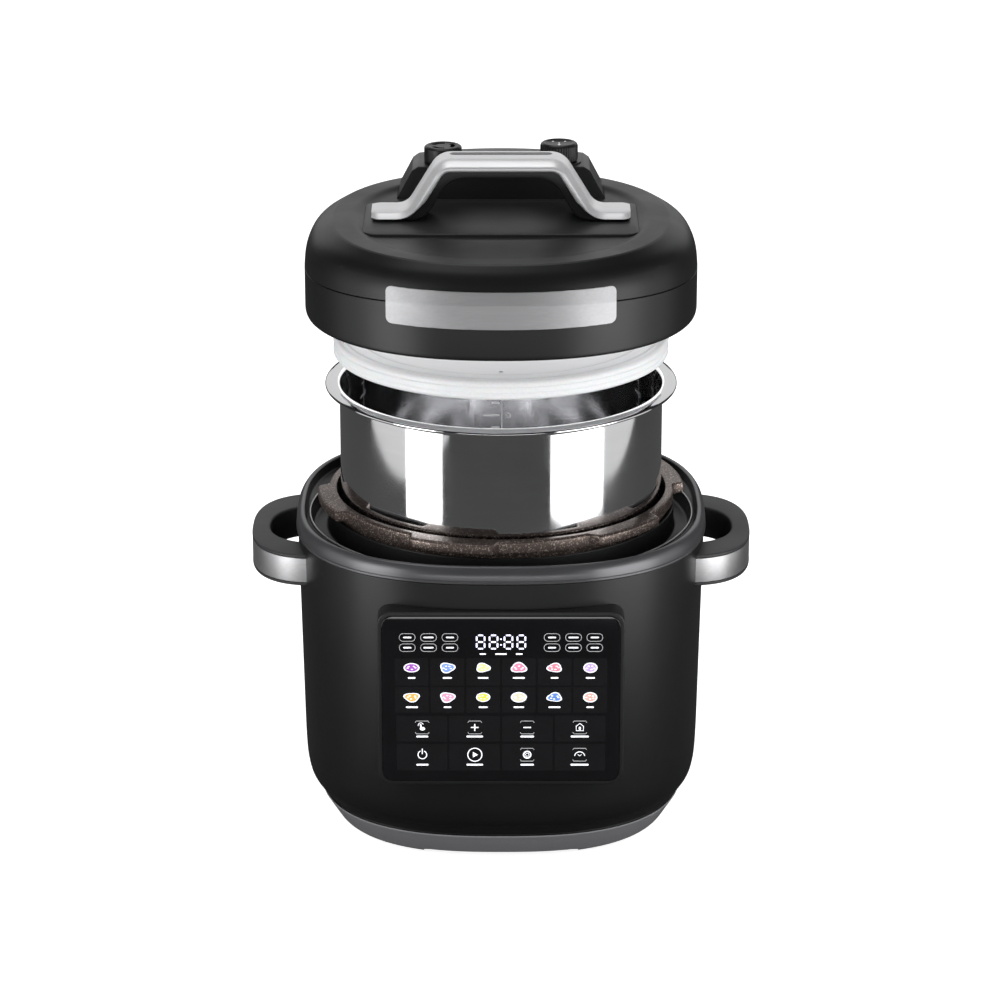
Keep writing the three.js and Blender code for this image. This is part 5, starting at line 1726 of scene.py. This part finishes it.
        def corners(angle: float) -> list[Corner]:
            """Return the dish's section at an angle, with a lug where the outer pot has a gap.

            Args:
                angle: The angle round the axis, in radians.

            Returns:
                The corners.
            """
            lug = lugs.lug(angle + math.radians(30))
            tip = skirt - 6.2 * lug - 0.02
            return [(0, top - 2.2, 0), (roof, top - 2.2, 3), (skirt, shoulder, 3), (skirt, low + 2.6, 0.2),
                    (tip, low + 2.6, 0.4), (tip, low, 0.4), (reach, low, 0.6), (reach, shoulder, 3),
                    (roof + 1, top, 3), (40, top, 0), (0, top, 0)]

        piece = around("lid_dish_fine", corners, steps=432, closed=False, fillet_steps=4)
        place(piece, Body.LID, Finishes.SPUN, "spun_aluminium", "lid_dish")


@dataclass
class LidHandle:
    """The bridge handle: a black core under a satin silver cap with a slot along its top."""

    foot_length: float = 23.0
    foot_height: float = 3.6
    top_half: float = 42.0
    trim: float = 3.0
    drop: float = 4.6
    slot: Point2 = (69.0, 7.6)
    cap: Extent = field(init=False)
    core: Extent = field(init=False)

    def __post_init__(self) -> None:
        """Measure the cap and the core."""
        self.cap, self.core = Extent.of("lid_handle_cap"), Extent.of("lid_handle_core")

    def build(self) -> None:
        """Build the cap and the core."""
        self.build_cap()
        self.build_core()

    def mirrored(self, half: Sequence[Corner], steps: int) -> list[Vector]:
        """Return a line rounded at its corners, from a left half given by distances from the middle.

        Args:
            half: The left half's corners.
            steps: Points in each rounding.

        Returns:
            The whole line, spread evenly.
        """
        line = [(-x, z, r) for x, z, r in half] + [(x, z, r) for x, z, r in reversed(half)]
        points = [Vector(p) for p in rounded(line, closed=False, steps=steps)]
        return self.spaced(points, 120)

    @staticmethod
    def spaced(points: Sequence[Vector], count: int) -> list[Vector]:
        """Return points spread evenly along a line.

        Args:
            points: The line.
            count: How many spaces it is parted into.

        Returns:
            The points.
        """
        lengths = [0.0]
        for before, after in zip(points, points[1:]):
            lengths.append(lengths[-1] + (after - before).length)
        made = []
        k = 0
        for i in range(count + 1):
            target = lengths[-1] * i / count
            while k < len(points) - 2 and lengths[k + 1] < target:
                k += 1
            share = (target - lengths[k]) / max(lengths[k + 1] - lengths[k], WELD)
            made.append(points[k].lerp(points[k + 1], min(1.0, share)))
        return made

    def top_line(self) -> list[Vector]:
        """Return the line of the cap's upper face, from one foot over the bar to the other foot."""
        foot, bar, half = self.cap.low.z + self.foot_height, self.cap.high.z, self.cap.high.x
        return self.mirrored([(half, foot, 0), (half - self.foot_length, foot, 7), (self.top_half, bar, 9)], 12)

    def build_cap(self) -> None:
        """Build the cap: a strip whose long edges fall away, carried along the handle's line."""
        line = self.top_line()
        middle, half = self.cap.middle.y, (self.cap.high.y - self.cap.low.y) / 2
        edge = self.drop + self.trim
        section: list[Corner] = [
            (-half + 1.6, -edge, 0.5), (-half, 1.0 - edge, 0.7), (-half, 0.6 - self.drop, 1.4), (-half + 7, 0, 3.5),
            (half - 7, 0, 3.5), (half, 0.6 - self.drop, 1.4), (half, 1.0 - edge, 0.7), (half - 1.6, -edge, 0.5),
            (half - 7.6, -self.trim, 2), (-half + 7.6, -self.trim, 2),
        ]
        across = rounded(section, closed=True, steps=4)
        bar = self.cap.high.z
        loops = []
        for i, here in enumerate(line):
            along = (line[min(i + 1, len(line) - 1)] - line[max(i - 1, 0)]).normalized()
            normal = Vector((-along.y, along.x))
            end = min(i, len(line) - 1 - i)
            narrow = 1.0 - 0.05 * max(0, 3 - end) ** 1.5
            flat = min(1.0, max(0.0, (here.y - self.cap.low.z - self.foot_height) / 12))
            loops.append([(here.x + normal.x * n * self.fall(n, flat), middle + y * narrow,
                           here.y + normal.y * n * self.fall(n, flat)) for y, n in across])
        piece = skin("lid_handle_cap_fine", loops, sharp=45)
        slot = prism("slot", rounded_rectangle(*self.slot, 3.7, (0, middle + 3.5), steps=10), bar - 12, bar + 4)
        place(cut(piece, slot), Body.LID, Finishes.CAP, "brushed_silver", "lid_handle_cap")

    def fall(self, depth: float, share: float) -> float:
        """Return how much of a section's depth is kept: the feet lie flat, and the bar's edges fall away.

        Args:
            depth: How far a section's point lies under the upper face, as a negative number.
            share: 0 on the feet and 1 along the bar.

        Returns:
            The factor for that depth.
        """
        if depth > -self.trim - 0.01:
            return 0.45 + 0.55 * share
        return (self.trim + (-depth - self.trim) * (0.25 + 0.75 * share)) / -depth

    def build_core(self) -> None:
        """Build the core between the cap and the lid."""
        upper = [p + Vector((0, -self.trim - 0.5)) for p in self.top_line()]
        low, half = self.core.low.z, self.core.high.x
        lower = self.mirrored([(half, low, 0), (half - self.foot_length - 12, low, 10),
                               (self.top_half - 7, self.cap.high.z - 12.5, 12)], 12)
        middle, wide = self.core.middle.y, (self.core.high.y - self.core.low.y) / 2
        loops = []
        for top, bottom in zip(upper, lower):
            thick = (top - bottom).length
            corners = [(-wide + 3.5, 0.0, 1.5), (-wide, 0.18, 2), (-wide, 1.0, 1.6), (wide, 1.0, 1.6), (wide, 0.18, 2),
                       (wide - 3.5, 0.0, 1.5)]
            section = rounded([(y, -share * thick, r) for y, share, r in corners], closed=True, steps=3)
            ray = (bottom - top) / thick
            loops.append([(top.x - ray.x * n, middle + y, top.y - ray.y * n) for y, n in section])
        place(skin("lid_handle_core_fine", loops, sharp=45), Body.LID, Finishes.PLASTIC, "black_plastic",
              "lid_handle_core")


@dataclass
class ValveDeck:
    """The raised deck behind the handle, with the float valve's cap and the steam knob."""

    lid: LidShells
    half_width: float = 57.0
    spread: float = 10.0
    front: float = 55.0
    ramp: float = 5.0
    ridges: int = 44
    deck: Extent = field(init=False)

    def __post_init__(self) -> None:
        """Measure the deck."""
        self.deck = Extent.of("lid_deck")

    def build(self) -> None:
        """Build the deck, the cap and the knob."""
        self.build_deck()
        self.build_float_cap()
        self.build_knob()

    def ring(self, inset: float, widen: float, height: float, share: float) -> list[Point3]:
        """Return the deck's outline at a height.

        Args:
            inset: How far the rear arc is moved in.
            widen: How far the sides are moved out.
            height: The height of the ring.
            share: How far up the front ramp the ring is, from 0 to 1.

        Returns:
            The points, starting at the front left.
        """
        rear = self.deck.high.y - inset
        ellipse = Outline(rear + 10, rear, 2.0)
        half, front = self.half_width + widen, self.front + self.ramp * share
        corner = math.acos(min(1.0, half / ellipse.half_width))
        side_y = ellipse.half_depth * math.sin(corner)
        line: list[Point2] = [(-half + 2 * half * i / 12, front) for i in range(12)]
        line += [(half, front + (side_y - front) * i / 8) for i in range(8)]
        for i in range(32):
            turn = corner + (math.pi - 2 * corner) * i / 32
            line.append((ellipse.half_width * math.cos(turn), ellipse.half_depth * math.sin(turn)))
        line += [(-half, side_y + (front - side_y) * i / 8) for i in range(8)]
        return [(x, y, height) for x, y in line]

    def build_deck(self) -> None:
        """Build the deck with sides that lean in, a ramp at the front, and a round rear."""
        top = self.deck.high.z - 0.9
        foot = self.lid.floor - 2.5
        loops = [self.ring(1.2, self.spread + 6, foot, 0), self.ring(1.2, self.spread + 6, foot + 0.5, 0.02),
                 self.ring(0.8, 4, top - 2.5, 0.92), self.ring(1.6, 0, top, 1)]
        piece = soften(skin("lid_deck_fine", loops), 0.8, segments=3, above=8)
        place(piece, Body.LID, Finishes.PLASTIC, "lid_black", "lid_deck")
        knob = Extent.of("steam_knob")
        collar = [(6, top - 0.5, 0), (15.4, top - 0.5, 0), (15.4, top + 0.9, 0.5), (6, top + 0.9, 0)]
        place(turned("knob_collar", collar, steps=96, at=(knob.middle.x, knob.middle.y)), Body.LID, Finishes.PLASTIC,
              "lid_black")

    def build_float_cap(self) -> None:
        """Build the cap over the float valve, with three curved slots in its top and a window in its side."""
        size = Extent.of("float_valve_cap")
        low, top = size.low.z, size.high.z
        at, radius = (size.middle.x, size.middle.y), (size.high.x - size.low.x) / 2
        corners = [(0, top - 1.8, 0), (radius - 2.4, top - 1.8, 0.6), (radius - 2.4, low, 0.3), (radius, low, 0.4),
                   (radius, top - 1.2, 0.5), (radius - 1.2, top, 0.9), (9.4, top, 0.3), (9.1, top - 0.4, 0.3),
                   (0, top - 0.4, 0)]
        piece = turned("float_valve_cap_fine", corners, closed=False, steps=96, at=at)
        slots = [self.crescent(at, turn, top) for turn in (0, 120, 240)]
        hole = rounded_rectangle(5.2, top - low - 5, 1.2, (at[0], (low + top) / 2 - 0.5))
        window = prism("window", hole, at[1] - 16, at[1] - 8, Plane.FRONT)
        place(cut(piece, *slots, window), Body.LID, Finishes.PLASTIC, "black_plastic", "float_valve_cap")

    def crescent(self, at: Point2, turn: float, top: float) -> bpy.types.Object:
        """Return the tool for one curved slot.

        Args:
            at: The cap's middle.
            turn: The slot's direction, in degrees.
            top: The height of the cap's top.

        Returns:
            The tool.
        """
        outline: list[Point2] = []
        for radius, way in ((8.4, 1), (5.4, -1)):
            for i in range(13):
                angle = math.radians(turn + way * (-40 + 80 * i / 12))
                outline.append((at[0] + radius * math.cos(angle), at[1] + radius * math.sin(angle)))
        return prism("slot", outline, top - 4, top + 2)

    def build_knob(self) -> None:
        """Build the knurled steam knob, with a pointer and two dots on its top."""
        size = Extent.of("steam_knob")
        low, top = size.low.z, size.high.z
        centre, radius = size.middle, (size.high.y - size.low.y) / 2
        levels = [(0.0, 1.2, low), (0.0, 0.4, low + 0.4), (1.0, 0.0, low + 1.6), (1.0, 0.0, top - 2.2),
                  (0.0, 0.5, top - 1.0), (0.0, 1.4, top - 0.2), (0.0, 2.2, top), (0.0, 3.4, top - 0.1),
                  (0.0, 3.8, top - 0.5)]
        count = self.ridges * 6
        loops = []
        for knurl, inset, z in levels:
            loop = []
            for i in range(count):
                turn = 2 * math.pi * i / count
                r = radius - inset - 0.55 * knurl * (0.5 - 0.5 * math.cos(self.ridges * turn))
                loop.append((centre.x + r * math.cos(turn), centre.y + r * math.sin(turn), z))
            loops.append(loop)
        place(skin("steam_knob_fine", loops, sharp=50), Body.KNOB, Finishes.PLASTIC, "black_plastic", "steam_knob")
        marks = Stencil(lambda u, v, h: (centre.x + u, centre.y + v, top - 0.52 + h), 0.25)
        marks.shape([(-1.2, -5.6), (1.2, -5.6), (0, -8.2)])
        marks.stroke([(0, 0), (0, -5.2)], 0.7)
        for u in (-4.2, 4.2):
            marks.oval(u, 3.2, 0.8, 0.8, steps=14)
        # The knob's marks take the glowing dim-symbol finish. They glow though the knob holds no lamp: painted light
        # in place of lit grey print.
        place(marks.object("knob_marks"), Body.KNOB, Finishes.OUTLINE, "black_plastic")


@dataclass
class SmallParts:
    """The fittings and inner parts whose solids carry over, with rounded edges where they can be seen."""

    frame: dict
    rounded_nodes: tuple[tuple[str, Body, Finish, str, float], ...] = (
        ("power_inlet", Body.BASE, Finishes.PLASTIC, "black_plastic", 0.4),
        ("cup_bracket", Body.BASE, Finishes.PLASTIC, "black_plastic", 0.4),
        ("condensate_cup", Body.CUP, Finishes.CUP, "clear_plastic", 0.5),
        ("sensor_bracket", Body.BASE, Finishes.ZINC, "plated_steel", 0.3),
        ("anti_block_shield", Body.LID, Finishes.ZINC, "plated_steel", 0.2),
        ("plate_stud", Body.LID, Finishes.ZINC, "plated_steel", 0.2),
    )

    def build(self) -> None:
        """Round the fittings that show, and dress every other node."""
        for node, body, finish, slot, width in self.rounded_nodes:
            place(softened_copy(self.frame, node, width), body, finish, slot, node)
        by_slot = {
            "plated_steel": Finishes.ZINC, "board_green": Finishes.BOARD, "black_plastic": Finishes.PLASTIC,
            "clear_plastic": Finishes.CUP, "cable": Finishes.CABLE, "foot_rubber": Finishes.RUBBER,
            "silicone": Finishes.SILICONE, "spun_aluminium": Finishes.SPUN, "cast_aluminium": Finishes.HEATER,
        }
        for part in self.frame["record"]["subparts"]:
            node = self.frame["nodes"][part["node"]]
            if node.hide_render:
                continue
            finish = by_slot.get(part["material_slot"], Finishes.PLASTIC)
            node.data.materials.clear()
            node.data.materials.append(finish.material())
            LOG.info("%s: carried over in %s", part["node"], finish.name)


# ------------------------------------------------------------------ floor, light and camera


@dataclass
class Studio:
    """The pale floor, the soft lights and the camera."""

    target: Point3 = (0.0, 0.0, 217.0)
    distance: float = 2600.0
    elevation: float = 19.2
    lens: float = 135.6
    floor_size: float = 30000.0
    shift: Point2 = (-0.001, 0.0)

    def build(self) -> None:
        """Build the camera, the floor, the sky and the lights."""
        self.build_camera()
        self.build_floor()
        self.build_sky()
        self.build_lights()

    def build_camera(self) -> None:
        """Place the camera in front and above, and aim it at the middle of the cooker."""
        rise = math.radians(self.elevation)
        away = Vector((0, -math.cos(rise), math.sin(rise)))
        camera = bpy.data.objects.new("camera", bpy.data.cameras.new("camera"))
        camera.data.lens = self.lens
        camera.data.sensor_width = 36
        camera.data.shift_x, camera.data.shift_y = self.shift
        camera.data.clip_end = 100
        camera.location = (Vector(self.target) + away * self.distance) * MM
        camera.rotation_mode = "QUATERNION"
        camera.rotation_quaternion = (-away).to_track_quat("-Z", "Y")
        bpy.context.scene.collection.objects.link(camera)
        bpy.context.scene.camera = camera
        bpy.context.scene.view_settings.view_transform = "Standard"

    def build_floor(self) -> None:
        """Build the floor, which looks pale and throws little light back up at the cooker."""
        half = self.floor_size / 2
        corners = [(-half, -half, 0), (half, -half, 0), (half, half, 0), (-half, half, 0)]
        floor = make_object("floor", corners, [range(4)])
        paint = bpy.data.materials.new("pale floor")
        paint.use_nodes = True
        graph = Graph(paint.node_tree)
        shader = paint.node_tree.nodes["Principled BSDF"]
        graph.feed(shader, "Roughness", 0.9)
        graph.feed(shader, "Specular IOR Level", 0.0)
        seen = graph.node("ShaderNodeLightPath").outputs["Is Camera Ray"]
        colour = graph.mix(seen, opaque((0.06, 0.06, 0.06)), opaque((0.5, 0.5, 0.5)))
        graph.feed(shader, "Base Color", colour)
        glow = graph.mix(seen, opaque((0.0, 0.0, 0.0)), opaque((0.86, 0.86, 0.86)))
        graph.feed(shader, "Emission Color", glow)
        graph.feed(shader, "Emission Strength", 1.0)
        floor.data.materials.append(paint)

    def build_sky(self) -> None:
        """Light the scene evenly from all round: white behind the floor, and dim in reflections."""
        world = bpy.data.worlds.new("studio")
        world.use_nodes = True
        graph = Graph(world.node_tree)
        back = world.node_tree.nodes["Background"]
        path = graph.node("ShaderNodeLightPath")
        dim = graph.mix(path.outputs["Is Glossy Ray"], opaque((0.95, 0.95, 0.95)), opaque((0.025, 0.025, 0.027)))
        colour = graph.mix(path.outputs["Is Camera Ray"], dim, opaque((1.0, 1.0, 1.0)))
        graph.tree.links.new(colour, back.inputs["Color"])
        bpy.context.scene.world = world

    def add_light(self, name: str, at: Point3, toward: Point3, size: Point2, power: float) -> None:
        """Add a soft rectangular light.

        Args:
            name: Its name.
            at: Its place, in millimetres.
            toward: The point that it faces.
            size: Its width and height, in millimetres.
            power: Its power in watts.
        """
        data = bpy.data.lights.new(name, "AREA")
        data.shape = "RECTANGLE"
        data.size, data.size_y = size[0] * MM, size[1] * MM
        data.energy = power
        light = bpy.data.objects.new(name, data)
        light.location = Vector(at) * MM
        light.rotation_mode = "QUATERNION"
        light.rotation_quaternion = (Vector(toward) - Vector(at)).to_track_quat("-Z", "Y")
        light.visible_camera = False
        bpy.context.scene.collection.objects.link(light)

    def build_lights(self) -> None:
        """Place the cards at the sides, behind, low in front and above, and the two small lights under the lid."""
        cards = (
            ("left card", (-530, -405, 150), (0, 0, 150), (320, 700), 2.6),
            ("left glow", (-720, -300, 200), (0, 0, 200), (1000, 800), 0.7),
            ("right card", (530, -405, 150), (0, 0, 150), (480, 700), 2.4),
            ("right glow", (720, -260, 200), (0, 0, 200), (1100, 800), 0.7),
            ("rear card", (0, 1300, 800), (0, 0, 400), (2200, 800), 0.75),
            ("low front card", (0, -1500, 60), (0, 0, 390), (1500, 220), 3.0),
            ("pot light", (0, 10, 318), (0, 70, 200), (150, 60), 6.0),
            ("plate light", (0, -20, 354), (0, -40, 330), (210, 170), 0.9),
            ("overhead", (-150, 100, 1700), (0, 0, 300), (1100, 900), 1.6),
        )
        for name, at, toward, size, radiance in cards:
            self.add_light(name, at, toward, size, radiance * math.pi * size[0] * size[1] * MM ** 2)


def main() -> None:
    """Load the frame, and build the studio and each sub-assembly round it."""
    logging.basicConfig(level=logging.INFO, format="%(name)s: %(message)s")
    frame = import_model()
    Studio().build()
    housing = Housing()
    lid = LidShells()
    assemblies = [housing, CookWell(), TouchPanel(housing), SideHandle(Side.LEFT), SideHandle(Side.RIGHT), SteelPot(),
                  SealAndPlate(), lid, LidHandle(), ValveDeck(lid), SmallParts(frame)]
    for assembly in assemblies:
        assembly.build()


if __name__ == "__main__":
    main()
